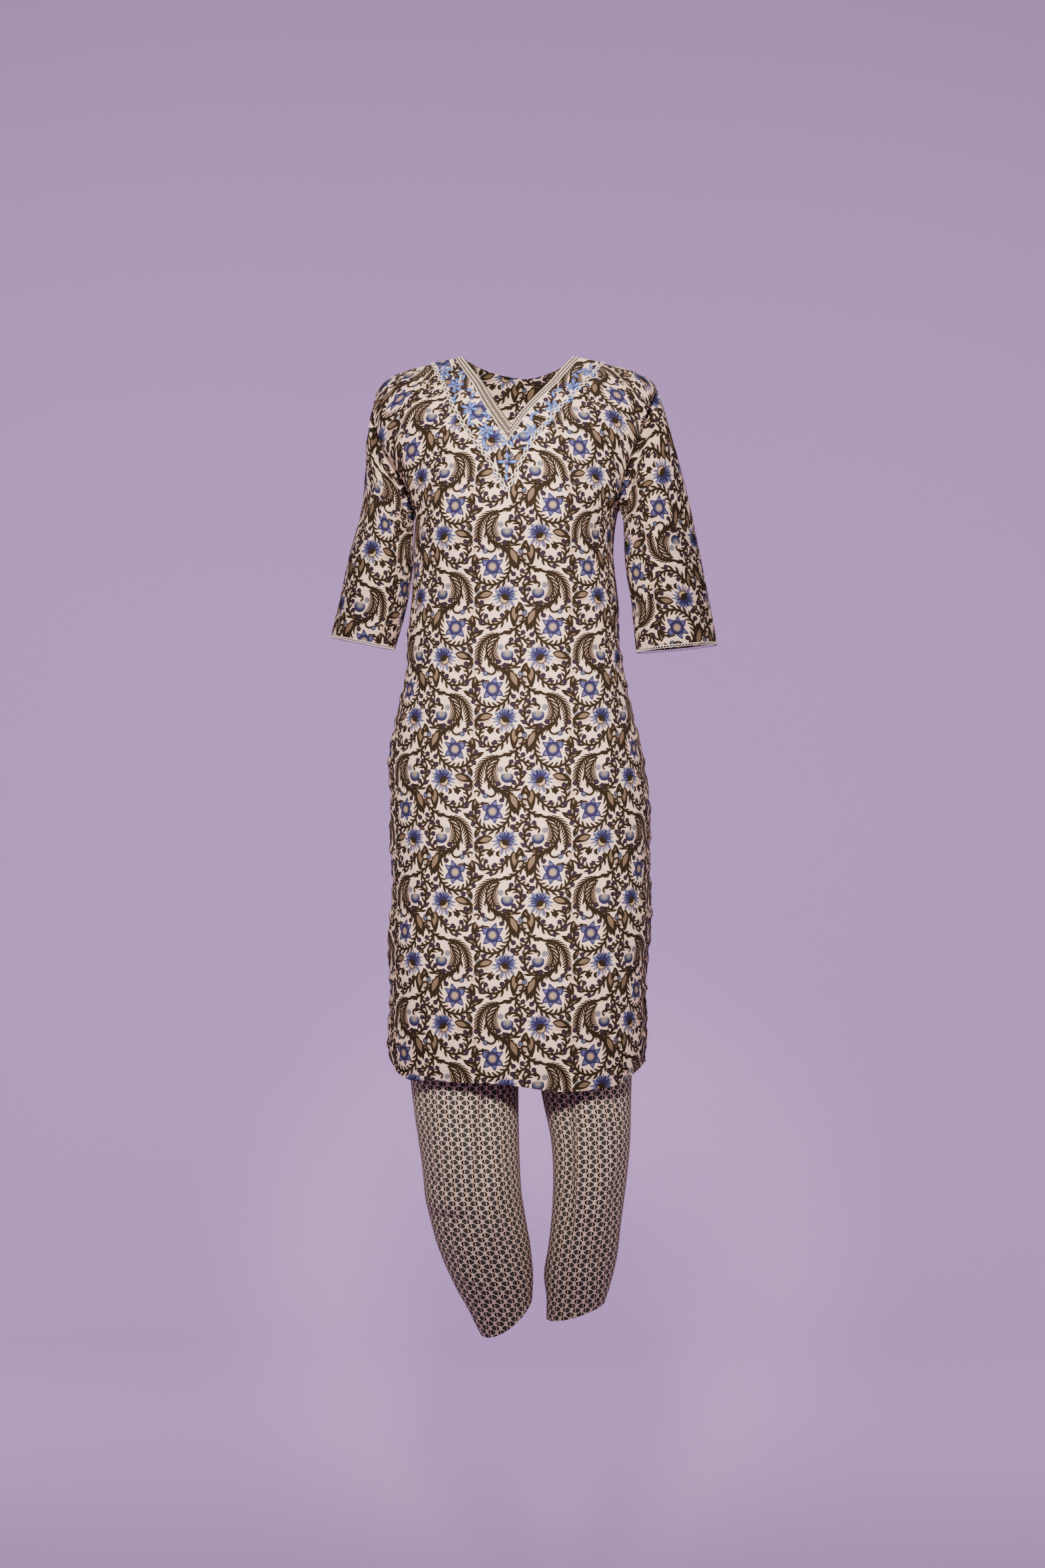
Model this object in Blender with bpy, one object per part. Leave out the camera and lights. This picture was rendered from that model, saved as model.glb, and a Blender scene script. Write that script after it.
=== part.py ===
"""Salwar kameez suit as worn: a tunic with a V yoke and narrow trousers, each cut piece a thin solid."""
import math
from collections import namedtuple

import bmesh
import bpy
import numpy as np

# Driving dimensions, metres. The front faces -Y, +Z is up, and the neck points of the shoulders lie
# at z = 0. Left and right are as the viewer in front sees them.
CLOTH_WALL = 0.0020
TRIM_WALL = 0.0011
SEAM_GAP = 0.0003
ARMHOLE_GAP = 0.0005
TRIM_LIFT = 0.0007
# The kameez and the hips of the trousers stand turned about the upright axis.
TURN = math.radians(-6.0)

UNDERARM = -0.212
SLIT_TOP = -0.600
V_POINT = -0.105
YOKE_POINT = -0.2015
SHOULDER_TILT = 0.0022
NECK_REACH = 0.393
YOKE_REACH = 0.622
BACK_NECK_DROP = 0.022
# Level sections are superellipses of this power.
SECTION_POWER = 2.6
# How the chest and the upper back round off from the underarm line to the shoulder ridge.
CHEST_ROUNDING = (2.3, 0.85)
BACK_ROUNDING = (2.3, 0.62)
ARMHOLE_FRONT = 0.048
ARMHOLE_BACK = 0.044

# Free edges below the slits: how fast they spread, and their waves.
SLIT_SPREAD_FRONT = 0.034
SLIT_SPREAD_BACK = 0.060
SLIT_WAVE = 0.0030
SLIT_WAVE_RATE = 26.0
SIDE_WAVE = 0.0020
SIDE_WAVE_RATE_LEFT = 46.0
SIDE_WAVE_RATE_RIGHT = 39.0
SIDE_WAVE_TOP = -0.52

# Soft fullness of the front over each breast.
BUST_DEPTH = 0.007
BUST_SIDE = 0.070
BUST_HEIGHT = -0.238
BUST_HALF_WIDTH = 0.050
BUST_HALF_HEIGHT = 0.060

SLEEVE_LACE_DROP = 0.0040
SLEEVE_LACE_SET_IN = 0.0004

WAIST_TOP = -0.352
WAIST_SEAM = -0.386
HIP_LINE = -0.520
CROTCH = -0.720
HEM_TILT_START = -1.08
# How far the trousers lie inside the kameez at the waist, and how much more at the hips.
WAIST_INSET = 0.0036
HIP_INSET = 0.0070
HIP_INSET_FULL = -0.48
# The seam between the legs drifts to one side towards the crotch, as the stance does.
CENTRE_DRIFT = 0.0122

Body = namedtuple("Body", "height left right front back")
BODY = (
    Body(-0.0440, -0.1870, 0.1920, 0.124, 0.098),
    Body(-0.0850, -0.1880, 0.1795, 0.124, 0.098),
    Body(-0.1300, -0.1720, 0.1625, 0.124, 0.098),
    Body(-0.1600, -0.1540, 0.1520, 0.124, 0.098),
    Body(-0.1900, -0.1410, 0.1435, 0.124, 0.098),
    Body(-0.2120, -0.1350, 0.1375, 0.124, 0.098),
    Body(-0.2400, -0.1350, 0.1330, 0.124, 0.096),
    Body(-0.2700, -0.1360, 0.1315, 0.119, 0.091),
    Body(-0.3050, -0.1380, 0.1350, 0.113, 0.084),
    Body(-0.3400, -0.1405, 0.1390, 0.108, 0.079),
    Body(-0.3800, -0.1460, 0.1395, 0.106, 0.079),
    Body(-0.4200, -0.1465, 0.1450, 0.108, 0.086),
    Body(-0.4750, -0.1580, 0.1560, 0.114, 0.101),
    Body(-0.5450, -0.1715, 0.1730, 0.121, 0.118),
    Body(-0.6200, -0.1680, 0.1800, 0.125, 0.127),
    Body(-0.7000, -0.1670, 0.1825, 0.127, 0.127),
    Body(-0.8000, -0.1700, 0.1790, 0.129, 0.125),
    Body(-0.9000, -0.1690, 0.1750, 0.130, 0.123),
    Body(-1.0000, -0.1680, 0.1690, 0.131, 0.121),
)

# Shoulder ridge: how far out from the centre as a share of the half width, and its height there.
Ridge = namedtuple("Ridge", "reach height")
RIDGE = (
    Ridge(0.000, 0.0100),
    Ridge(0.393, -0.0030),
    Ridge(0.622, -0.0120),
    Ridge(0.800, -0.0205),
    Ridge(0.900, -0.0285),
    Ridge(0.960, -0.0365),
    Ridge(1.000, -0.0460),
)

Hem = namedtuple("Hem", "reach front back")
HEM = (
    Hem(-1.00, -0.938, -0.944),
    Hem(-0.90, -0.959, -0.958),
    Hem(-0.55, -0.968, -0.966),
    Hem(0.00, -0.972, -0.968),
    Hem(0.45, -0.981, -0.970),
    Hem(0.70, -0.978, -0.968),
    Hem(0.90, -0.970, -0.962),
    Hem(1.00, -0.953, -0.955),
)

# Sleeve rings: the middle, the lean of the ring from level, and the half width and half depth.
Ring = namedtuple("Ring", "side height depth lean half_width half_depth")
LEFT_RINGS = (
    Ring(-0.1775, -0.236, -0.006, 8.0, 0.0385, 0.0550),
    Ring(-0.1828, -0.276, -0.009, 10.0, 0.0440, 0.0570),
    Ring(-0.1920, -0.331, -0.014, 11.5, 0.0455, 0.0570),
    Ring(-0.2050, -0.386, -0.020, 11.5, 0.0440, 0.0570),
)
RIGHT_RINGS = (
    Ring(0.1925, -0.226, -0.006, 6.0, 0.0465, 0.0550),
    Ring(0.1985, -0.276, -0.009, 8.0, 0.0505, 0.0570),
    Ring(0.2083, -0.330, -0.014, 8.0, 0.0515, 0.0570),
    Ring(0.2180, -0.3945, -0.020, 5.5, 0.0545, 0.0580),
)

# Legs: the inner and outer edge seen from the front, and the reach to the front and to the back.
Leg = namedtuple("Leg", "height inner outer front back")
LEFT_LEG = (
    Leg(-0.720, 0.0118, -0.1600, 0.098, 0.098),
    Leg(-0.850, 0.0085, -0.1530, 0.090, 0.092),
    Leg(-0.996, 0.0036, -0.1404, 0.084, 0.080),
    Leg(-1.086, 0.0054, -0.1278, 0.082, 0.066),
    Leg(-1.140, 0.0081, -0.1200, 0.082, 0.056),
    Leg(-1.190, 0.0145, -0.1025, 0.072, 0.056),
    Leg(-1.230, 0.0200, -0.0815, 0.060, 0.056),
    Leg(-1.262, 0.0230, -0.0630, 0.050, 0.056),
    Leg(-1.292, 0.0225, -0.0495, 0.046, 0.054),
)
RIGHT_LEG = (
    Leg(-0.720, 0.0125, 0.1660, 0.096, 0.098),
    Leg(-0.850, 0.0235, 0.1630, 0.088, 0.092),
    Leg(-0.996, 0.0345, 0.1560, 0.080, 0.082),
    Leg(-1.060, 0.0475, 0.1545, 0.074, 0.074),
    Leg(-1.140, 0.0495, 0.1467, 0.068, 0.066),
    Leg(-1.190, 0.0445, 0.1405, 0.062, 0.062),
    Leg(-1.230, 0.0380, 0.1365, 0.056, 0.060),
    Leg(-1.262, 0.0415, 0.1290, 0.051, 0.058),
    Leg(-1.2875, 0.0414, 0.1205, 0.049, 0.055),
)
Cuff = namedtuple("Cuff", "rise_across dip_at_front")
LEFT_CUFF = Cuff(0.62, 0.018)
RIGHT_CUFF = Cuff(0.294, 0.003)

# Folds pressed into the cloth: middle, heading from level, half length, half width and depth.
Fold = namedtuple("Fold", "side height heading length width depth")
FRONT_FOLDS = (
    Fold(-0.122, -0.170, 62.0, 0.060, 0.0150, -0.0035),
    Fold(-0.104, -0.205, 68.0, 0.060, 0.0150, 0.0030),
    Fold(0.124, -0.168, -60.0, 0.050, 0.0150, -0.0035),
    Fold(0.106, -0.200, -66.0, 0.045, 0.0150, 0.0030),
    Fold(-0.110, -0.352, 6.0, 0.036, 0.0180, -0.0025),
    Fold(0.108, -0.365, -16.0, 0.040, 0.0180, -0.0025),
    Fold(-0.125, -0.820, 84.0, 0.130, 0.0200, 0.0035),
    Fold(0.125, -0.800, 95.0, 0.140, 0.0200, -0.0035),
)
BACK_FOLDS = (
    Fold(-0.112, -0.160, 64.0, 0.055, 0.0160, -0.0035),
    Fold(0.114, -0.165, -64.0, 0.055, 0.0160, -0.0035),
    Fold(0.010, -0.352, 3.0, 0.060, 0.0180, -0.0030),
    Fold(-0.085, -0.800, 88.0, 0.150, 0.0220, 0.0045),
    Fold(0.070, -0.820, 93.0, 0.150, 0.0220, -0.0045),
)

LEFT_SLEEVE_FOLDS = {
    "front": (
        Fold(-0.178, -0.112, -50.0, 0.030, 0.0110, -0.0035),
        Fold(-0.190, -0.132, -48.0, 0.030, 0.0110, 0.0040),
        Fold(-0.156, -0.262, 57.0, 0.032, 0.0110, -0.0035),
        Fold(-0.168, -0.290, 57.0, 0.030, 0.0120, 0.0030),
        Fold(-0.178, -0.338, 62.0, 0.030, 0.0120, -0.0030),
        Fold(-0.214, -0.310, 78.0, 0.050, 0.0130, 0.0025),
    ),
    "back": (
        Fold(-0.172, -0.150, -40.0, 0.040, 0.0120, -0.0040),
        Fold(-0.180, -0.290, 30.0, 0.035, 0.0120, -0.0035),
        Fold(-0.190, -0.318, 24.0, 0.035, 0.0120, 0.0030),
    ),
}
RIGHT_SLEEVE_FOLDS = {
    "front": (
        Fold(0.172, -0.158, 35.0, 0.035, 0.0110, -0.0040),
        Fold(0.186, -0.186, 30.0, 0.040, 0.0120, 0.0035),
        Fold(0.223, -0.255, -75.0, 0.050, 0.0120, -0.0035),
        Fold(0.204, -0.268, -78.0, 0.045, 0.0120, 0.0025),
        Fold(0.171, -0.300, -60.0, 0.030, 0.0120, -0.0030),
        Fold(0.226, -0.350, 84.0, 0.035, 0.0120, -0.0025),
    ),
    "back": (
        Fold(0.176, -0.152, 40.0, 0.040, 0.0120, -0.0040),
        Fold(0.196, -0.285, -28.0, 0.035, 0.0120, -0.0035),
        Fold(0.206, -0.315, -22.0, 0.035, 0.0120, 0.0030),
    ),
}
LEFT_LEG_FOLDS = {
    "front": (
        Fold(-0.083, -1.163, -8.0, 0.045, 0.0120, -0.0035),
        Fold(-0.083, -1.138, -8.0, 0.050, 0.0140, 0.0025),
        Fold(-0.043, -1.060, 86.0, 0.090, 0.0140, -0.0035),
        Fold(-0.022, -1.215, 80.0, 0.060, 0.0130, -0.0030),
        Fold(-0.092, -0.900, 80.0, 0.110, 0.0160, 0.0030),
    ),
    "back": (
        Fold(-0.060, -1.128, 9.0, 0.050, 0.0140, -0.0040),
        Fold(-0.058, -1.158, 5.0, 0.045, 0.0140, 0.0025),
        Fold(-0.070, -0.920, 84.0, 0.120, 0.0170, -0.0035),
    ),
}
RIGHT_LEG_FOLDS = {
    "front": (
        Fold(0.068, -1.080, 90.0, 0.130, 0.0120, -0.0040),
        Fold(0.088, -1.080, 88.0, 0.130, 0.0130, 0.0030),
        Fold(0.120, -1.040, 75.0, 0.100, 0.0140, -0.0035),
        Fold(0.110, -1.195, -72.0, 0.060, 0.0130, -0.0030),
        Fold(0.100, -0.880, 95.0, 0.110, 0.0160, 0.0030),
    ),
    "back": (
        Fold(0.095, -1.118, -8.0, 0.050, 0.0140, -0.0040),
        Fold(0.095, -1.148, -4.0, 0.045, 0.0140, 0.0025),
        Fold(0.105, -0.920, 96.0, 0.120, 0.0170, -0.0035),
    ),
}

# The yoke trims stop just short of the shoulder seam and of the mitre at the centre.
STRIP_START = 0.0020
STRIP_END = 0.9975

# Mesh density.
STRIP_ROWS = 15
OUTER_COLUMNS = 8
NECK_COLUMNS = 6
CHEST_ROWS = 12
SKIRT_ROWS = 18
CAP_ROWS = 6
SLEEVE_ROWS = 8
LEG_COLUMNS = 24
HIP_ROWS = 8
LEG_ROWS = 15
WAISTBAND_ROWS = 3
CREASE_ANGLE = math.radians(50)


def hermite(t, start, end, leave, arrive):
    """Cubic from start to end with the slopes leave and arrive."""
    from_start = (2 * t ** 3 - 3 * t ** 2 + 1) * start + (t ** 3 - 2 * t ** 2 + t) * leave
    return from_start + (3 * t ** 2 - 2 * t ** 3) * end + (t ** 3 - t ** 2) * arrive


def spline(places, values, place):
    """Smooth curve through a short table, read at one place."""
    order = np.argsort(places)
    knots = np.asarray(places, float)[order]
    heights = np.asarray(values, float)[order]
    slopes = np.gradient(heights, knots)
    place = min(max(place, knots[0]), knots[-1])
    index = int(min(max(np.searchsorted(knots, place) - 1, 0), len(knots) - 2))
    step = knots[index + 1] - knots[index]
    t = (place - knots[index]) / step
    ends = heights[index], heights[index + 1]
    return float(hermite(t, *ends, step * slopes[index], step * slopes[index + 1]))


def column(table, name):
    return [getattr(row, name) for row in table]


def read(table, name, height):
    return spline(column(table, "height"), column(table, name), height)


def ridge_height(reach):
    return spline(column(RIDGE, "reach"), column(RIDGE, "height"), abs(reach)) - SHOULDER_TILT * reach


def hem_height(reach, face):
    return spline(column(HEM, "reach"), column(HEM, face), reach)


def turned(point):
    x, y, z = point
    across = x * math.cos(TURN) - y * math.sin(TURN)
    deep = x * math.sin(TURN) + y * math.cos(TURN)
    return np.array((across, deep, z))


def smooth_step(low, high, value):
    t = min(max((value - low) / (high - low), 0.0), 1.0)
    return t * t * (3 - 2 * t)


def fold_depth(folds, side, height):
    """Sum of the soft ridges and troughs of a fold table at one place on a panel."""
    total = 0.0
    for fold in folds:
        heading = math.radians(fold.heading)
        right, up = side - fold.side, height - fold.height
        along = right * math.cos(heading) + up * math.sin(heading)
        across = up * math.cos(heading) - right * math.sin(heading)
        total += fold.depth * math.exp(-(along / fold.length) ** 2 - (across / fold.width) ** 2)
    return total


def slit_opening(height, face):
    """How far a free panel edge stands off the side line below the slit."""
    drop = max(SLIT_TOP - height, 0.0)
    spread = SLIT_SPREAD_FRONT if face == "front" else SLIT_SPREAD_BACK
    wave = SLIT_WAVE * math.sin(drop * SLIT_WAVE_RATE) * smooth_step(0.0, 0.08, drop)
    return spread * drop + wave


def side_wave(reach, height):
    """Soft waves of the side edges below the hip, which die out towards the middle of the panel."""
    drop = smooth_step(0.0, 0.10, SIDE_WAVE_TOP - height)
    rate = SIDE_WAVE_RATE_LEFT if reach < 0 else SIDE_WAVE_RATE_RIGHT
    return math.copysign(SIDE_WAVE * math.sin(height * rate) * drop * abs(reach) ** 6, reach)


def body_folds(face):
    return FRONT_FOLDS if face == "front" else BACK_FOLDS


def body_point(reach, height, face, inset=0.0):
    """Point of the kameez below the underarm; reach runs from -1 at one side seam to 1 at the other.
    With an inset it is a point of the trousers' hips, which have no slit and no wavy edge."""
    left = read(BODY, "left", height) + inset
    right = read(BODY, "right", height) - inset
    depth = read(BODY, face, height) - inset
    crown = (1.0 - min(abs(reach), 1.0) ** SECTION_POWER) ** (1.0 / SECTION_POWER)
    x = left + (right - left) * (reach + 1.0) / 2.0
    edge = SEAM_GAP / 2
    if inset == 0.0:
        x += side_wave(reach, height)
        edge += slit_opening(height, face)
    y = edge + (depth - edge) * crown
    if face == "front":
        y += bust(x, height)
    y += fold_depth(body_folds(face), x, height) * crown
    return np.array((x, -y if face == "front" else y, height))


def bust(x, height):
    sideways = (abs(x) - BUST_SIDE) / BUST_HALF_WIDTH
    upright = (height - BUST_HEIGHT) / BUST_HALF_HEIGHT
    return BUST_DEPTH * math.exp(-sideways ** 2 - upright ** 2)


def chest_point(reach, climb, face):
    """Point between the underarm (climb 0) and the shoulder ridge (climb 1)."""
    height = UNDERARM + (ridge_height(reach) - UNDERARM) * climb
    left = read(BODY, "left", height)
    right = read(BODY, "right", height)
    x = left + (right - left) * (reach + 1.0) / 2.0
    power, root = CHEST_ROUNDING if face == "front" else BACK_ROUNDING
    armhole = ARMHOLE_FRONT if face == "front" else ARMHOLE_BACK
    middle = read(BODY, face, height) * (1.0 - min(climb, 1.0) ** power) ** root
    edge = SEAM_GAP / 2 + armhole * 2.0 * math.sqrt(max(climb * (1.0 - climb), 0.0))
    flatter = smooth_step(0.0, 0.55, climb)
    reach_out = min(abs(reach), 1.0)
    crown = (1.0 - reach_out ** SECTION_POWER) ** (1.0 / SECTION_POWER + 0.5 * flatter)
    fade = (1.0 - smooth_step(0.80, 1.0, climb)) * (1.0 - reach_out ** 6)
    y = max(middle, edge * 0.4) * crown + edge * (1.0 - crown) * reach_out ** (4.0 * (1.0 - flatter))
    if climb >= 1.0:
        y = SEAM_GAP / 2
    if face == "front":
        y += bust(x, height) * fade
    y += fold_depth(body_folds(face), x, height) * fade
    return np.array((x, -y if face == "front" else y, height))


def neck_climb(reach, face):
    """Where a panel column ends: at the shoulder seam, or between the neck points at the neckline."""
    share = abs(reach) / NECK_REACH
    if share >= 1.0:
        return 1.0
    neck_point = ridge_height(math.copysign(NECK_REACH, reach))
    if face == "front":
        height = V_POINT + (neck_point - V_POINT) * share
    else:
        height = neck_point - BACK_NECK_DROP * (1.0 - share ** 2)
    return (height - UNDERARM) / (ridge_height(reach) - UNDERARM)


def yoke_climb(reach):
    """The outer edge of the yoke, from its point at the centre to the shoulder seam."""
    share = min(abs(reach) / YOKE_REACH, 1.0)
    height = YOKE_POINT + (ridge_height(math.copysign(YOKE_REACH, reach)) - YOKE_POINT) * share
    return min((height - UNDERARM) / (ridge_height(reach) - UNDERARM), 1.0)


def panel_columns(climb=0.0):
    """Shares across a panel, one at each neck point; below the underarm they crowd to the sides."""
    neck_angle = math.asin(NECK_REACH ** (SECTION_POWER / 2))
    outer = np.linspace(math.pi / 2, neck_angle, OUTER_COLUMNS + 1)[:-1]
    inner = np.linspace(-neck_angle, neck_angle, NECK_COLUMNS + 1)
    angles = np.concatenate((-outer, inner, outer[::-1]))
    even = smooth_step(0.0, 0.6, climb)
    reaches = []
    for angle in angles:
        crowded = abs(math.sin(angle)) ** (2 / SECTION_POWER)
        if abs(angle) > neck_angle:
            past_neck = (abs(angle) - neck_angle) / (math.pi / 2 - neck_angle)
            level = NECK_REACH + (1 - NECK_REACH) * past_neck
        else:
            level = NECK_REACH * abs(angle) / neck_angle
        reaches.append(math.copysign(crowded + (level - crowded) * even, angle))
    return reaches


def climbs():
    """Rows between underarm and ridge, spaced as equal turns round the armhole."""
    return [(1.0 - math.cos(math.pi * step / CHEST_ROWS)) / 2.0 for step in range(CHEST_ROWS + 1)]


def panel_grid(face):
    """Outer surface of the front or back panel, rows from the hem to the shoulder."""
    rows = []
    for row in range(SKIRT_ROWS):
        share = row / SKIRT_ROWS
        points = []
        for reach in panel_columns():
            height = hem_height(reach, face) * (1 - share) + UNDERARM * share
            points.append(body_point(reach, height, face))
        rows.append(points)
    for climb in climbs():
        points = []
        for reach in panel_columns(climb):
            points.append(chest_point(reach, climb * neck_climb(reach, face), face))
        rows.append(points)
    return np.array([[turned(point) for point in row] for row in rows])


def grid_normals(grid, closed):
    """Unit normals of a grid of points, from its rows and columns."""
    padded = np.concatenate((grid[:, -1:], grid, grid[:, :1]), axis=1) if closed else grid
    across = np.gradient(padded, axis=1)
    if closed:
        across = across[:, 1:-1]
    along = np.gradient(grid, axis=0)
    normals = np.cross(across, along)
    return normals / np.linalg.norm(normals, axis=2, keepdims=True)


def panel_normals(grid, face):
    """Panel normals out of the body, laid along the seam plane at the shoulder and side seams."""
    normals = grid_normals(grid, closed=False)
    outward = -1.0 if face == "front" else 1.0
    middle = grid.shape[1] // 2
    if normals[SKIRT_ROWS // 2, middle, 1] * outward < 0:
        normals = -normals
    seam = turned((0.0, 1.0, 0.0))
    for row in range(SKIRT_ROWS + 1):
        for side in (0, -1):
            if grid[row, side, 2] > SLIT_TOP - 0.02:
                normals[row, side] -= seam * normals[row, side].dot(seam)
    for index, reach in enumerate(panel_columns(1.0)):
        if abs(reach) >= NECK_REACH - 1e-6:
            normals[-1, index] -= seam * normals[-1, index].dot(seam)
    return normals / np.linalg.norm(normals, axis=2, keepdims=True)


def cloth_solid(name, outer, inner, closed):
    """One closed wall between an outer and an inner grid of points, with its rims."""
    mesh = bmesh.new()
    rows, columns = outer.shape[:2]
    skins = [[[mesh.verts.new(point) for point in row] for row in skin] for skin in (outer, inner)]
    last = columns if closed else columns - 1
    for row in range(rows - 1):
        for col in range(last):
            following = (col + 1) % columns
            rising = np.linalg.norm(outer[row + 1, following] - outer[row, col])
            falling = np.linalg.norm(outer[row + 1, col] - outer[row, following])
            for skin in skins:
                lower, upper = skin[row], skin[row + 1]
                corners = [lower[col], lower[following], upper[following], upper[col]]
                if falling < rising:
                    corners = corners[1:] + corners[:1]
                mesh.faces.new(corners[:3])
                mesh.faces.new((corners[2], corners[3], corners[0]))
    rims = [[(row, col) for col in range(columns)] for row in (0, rows - 1)]
    if closed:
        rims = [rim + rim[:1] for rim in rims]
    else:
        rims += [[(row, col) for row in range(rows)] for col in (0, columns - 1)]
    for rim in rims:
        for (row, col), (next_row, next_col) in zip(rim, rim[1:]):
            near = skins[0][row][col], skins[0][next_row][next_col]
            far = skins[1][next_row][next_col], skins[1][row][col]
            mesh.faces.new(near + far)
    bmesh.ops.recalc_face_normals(mesh, faces=mesh.faces)
    data = bpy.data.meshes.new(name)
    mesh.to_mesh(data)
    mesh.free()
    data.shade_smooth()
    data.set_sharp_from_angle(angle=CREASE_ANGLE)
    piece = bpy.data.objects.new(name, data)
    suit.objects.link(piece)
    return piece


def press_folds(grid, normals, shares, strengths, folds):
    """Move a tube's points by its folds, which fade where the front turns to the back."""
    pressed = grid.copy()
    for row, strength in enumerate(strengths):
        for col, share in enumerate(shares):
            face = folds["front"] if share < 0.5 else folds["back"]
            depth = fold_depth(face, grid[row, col, 0], grid[row, col, 2])
            facing = abs(math.sin(2 * math.pi * share)) ** 0.5
            pressed[row, col] += normals[row, col] * depth * strength * facing
    return pressed


def wall_inside(grid, normals, wall):
    return grid - normals * wall


def make_panel(face):
    grid = panel_grid(face)
    normals = panel_normals(grid, face)
    piece = cloth_solid("kameez_" + face, grid, wall_inside(grid, normals, CLOTH_WALL), closed=False)
    piece.data.materials.append(kameez_cloth)
    return grid, normals


def armhole_loop(side, front, back):
    """Armhole edge of both panels: underarm, up the front, over the shoulder and down the back."""
    edge = 0 if side == "left" else -1
    loops = []
    for going_up, going_down in zip(front, back):
        up = going_up[SKIRT_ROWS:, edge]
        down = going_down[-2:SKIRT_ROWS:-1, edge]
        loops.append(np.concatenate((up, down)))
    return loops


def ring_point(ring, angle, side):
    """Point of a sleeve ring; angle 0 is next to the body, a quarter turn later the front."""
    outward = -1.0 if side == "left" else 1.0
    lean = math.radians(ring.lean)
    reach = -math.cos(angle) * ring.half_width
    x = ring.side + outward * reach * math.cos(lean)
    z = ring.height + reach * math.sin(lean)
    return turned((x, ring.depth - math.sin(angle) * ring.half_depth, z))


def ring_between(rings, share):
    """A ring of the sleeve table, read smoothly between its rows."""
    places = np.linspace(0.0, 1.0, len(rings))
    return Ring(*(spline(places, column(rings, name), share) for name in Ring._fields))


def make_sleeve(side, rings, front, back):
    loop, loop_normals = armhole_loop(side, front, back)
    count = len(loop)
    angles = [2.0 * math.pi * index / count for index in range(count)]
    tangents = np.roll(loop, -1, axis=0) - np.roll(loop, 1, axis=0)
    outward = np.cross(tangents, loop_normals)
    outward /= np.linalg.norm(outward, axis=1, keepdims=True)
    away = np.array((-1.0 if side == "left" else 1.0, 0.0, 0.0))
    if outward[count // 4].dot(away) < 0:
        outward = -outward
    start = loop + outward * ARMHOLE_GAP
    first = np.array([ring_point(rings[0], angle, side) for angle in angles])
    soon = np.array([ring_point(ring_between(rings, 0.05), angle, side) for angle in angles])
    heading = (soon - first) / np.linalg.norm(soon - first, axis=1, keepdims=True)
    span = np.linalg.norm(first - start, axis=1)
    grid = [start]
    for step in range(1, CAP_ROWS):
        t = step / CAP_ROWS
        row = []
        for index in range(count):
            leave = outward[index] * min(span[index] * 0.55 + 0.010, 0.055)
            arrive = heading[index] * (span[index] * 0.75 + 0.012)
            row.append(hermite(t, start[index], first[index], leave, arrive))
        grid.append(row)
    for step in range(SLEEVE_ROWS + 1):
        ring = ring_between(rings, step / SLEEVE_ROWS)
        grid.append([ring_point(ring, angle, side) for angle in angles])
    grid = np.array(grid)
    normals = grid_normals(grid, closed=True)
    sense = -1.0 if normals[-2, count // 4, 1] > 0 else 1.0
    strengths = [smooth_step(0.0, CAP_ROWS - 1.0, float(row)) for row in range(len(grid))]
    folds = LEFT_SLEEVE_FOLDS if side == "left" else RIGHT_SLEEVE_FOLDS
    shares = [index / count for index in range(count)]
    grid = press_folds(grid, normals * sense, shares, strengths, folds)
    normals = grid_normals(grid, closed=True) * sense
    normals[0] = loop_normals
    piece = cloth_solid("sleeve_" + side, grid, wall_inside(grid, normals, CLOTH_WALL), closed=True)
    piece.data.materials.append(kameez_cloth)
    make_sleeve_lace(side, grid, normals)


def make_sleeve_lace(side, grid, normals):
    """Narrow lace that carries on below the sleeve hem."""
    down = grid[-1] - grid[-2]
    down /= np.linalg.norm(down, axis=1, keepdims=True)
    edge = grid[-1] - normals[-1] * SLEEVE_LACE_SET_IN
    outer = np.array([edge + down * drop for drop in (SEAM_GAP, SEAM_GAP + SLEEVE_LACE_DROP)])
    inner = outer - normals[-1] * TRIM_WALL
    piece = cloth_solid("sleeve_lace_" + side, outer, inner, closed=True)
    piece.data.materials.append(white_lace)


Strip = namedtuple("Strip", "name start end wall columns material")


def strip_point(across, along, sign):
    """Point on the front: across from neckline (0) to yoke edge (1), along from shoulder to centre."""
    inner_reach = sign * NECK_REACH * (1.0 - along)
    outer_reach = sign * YOKE_REACH * (1.0 - along)
    inner_climb = neck_climb(inner_reach, "front")
    outer_climb = yoke_climb(outer_reach)
    reach = inner_reach + (outer_reach - inner_reach) * across
    climb = inner_climb + (outer_climb - inner_climb) * across
    return turned(chest_point(reach, climb, "front"))


def make_strip(strip, side):
    """A flat trim on the yoke, made from the panel's own points moved out."""
    sign = -1.0 if side == "left" else 1.0
    crowding = np.linspace(0.0, 1.0, STRIP_ROWS) ** 1.35
    alongs = STRIP_START + (STRIP_END - STRIP_START) * crowding
    acrosses = np.linspace(strip.start, strip.end, strip.columns)
    grid = np.array([[strip_point(across, along, sign) for across in acrosses] for along in alongs])
    small = 1e-4
    normals = np.empty_like(grid)
    for row, along in enumerate(alongs):
        for col, across in enumerate(acrosses):
            after = strip_point(across, along + small, sign)
            before = strip_point(across, along - small, sign)
            outside = strip_point(across + small, along, sign)
            inside = strip_point(across - small, along, sign)
            normal = np.cross(after - before, outside - inside)
            normal /= np.linalg.norm(normal)
            faces_out = normal[1] < 0 or (abs(normal[1]) < 0.3 and normal[2] > 0)
            normals[row, col] = normal if faces_out else -normal
    base = grid + normals * TRIM_LIFT
    piece = cloth_solid(strip.name + side, base + normals * strip.wall, base, closed=False)
    piece.data.materials.append(strip.material)


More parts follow.
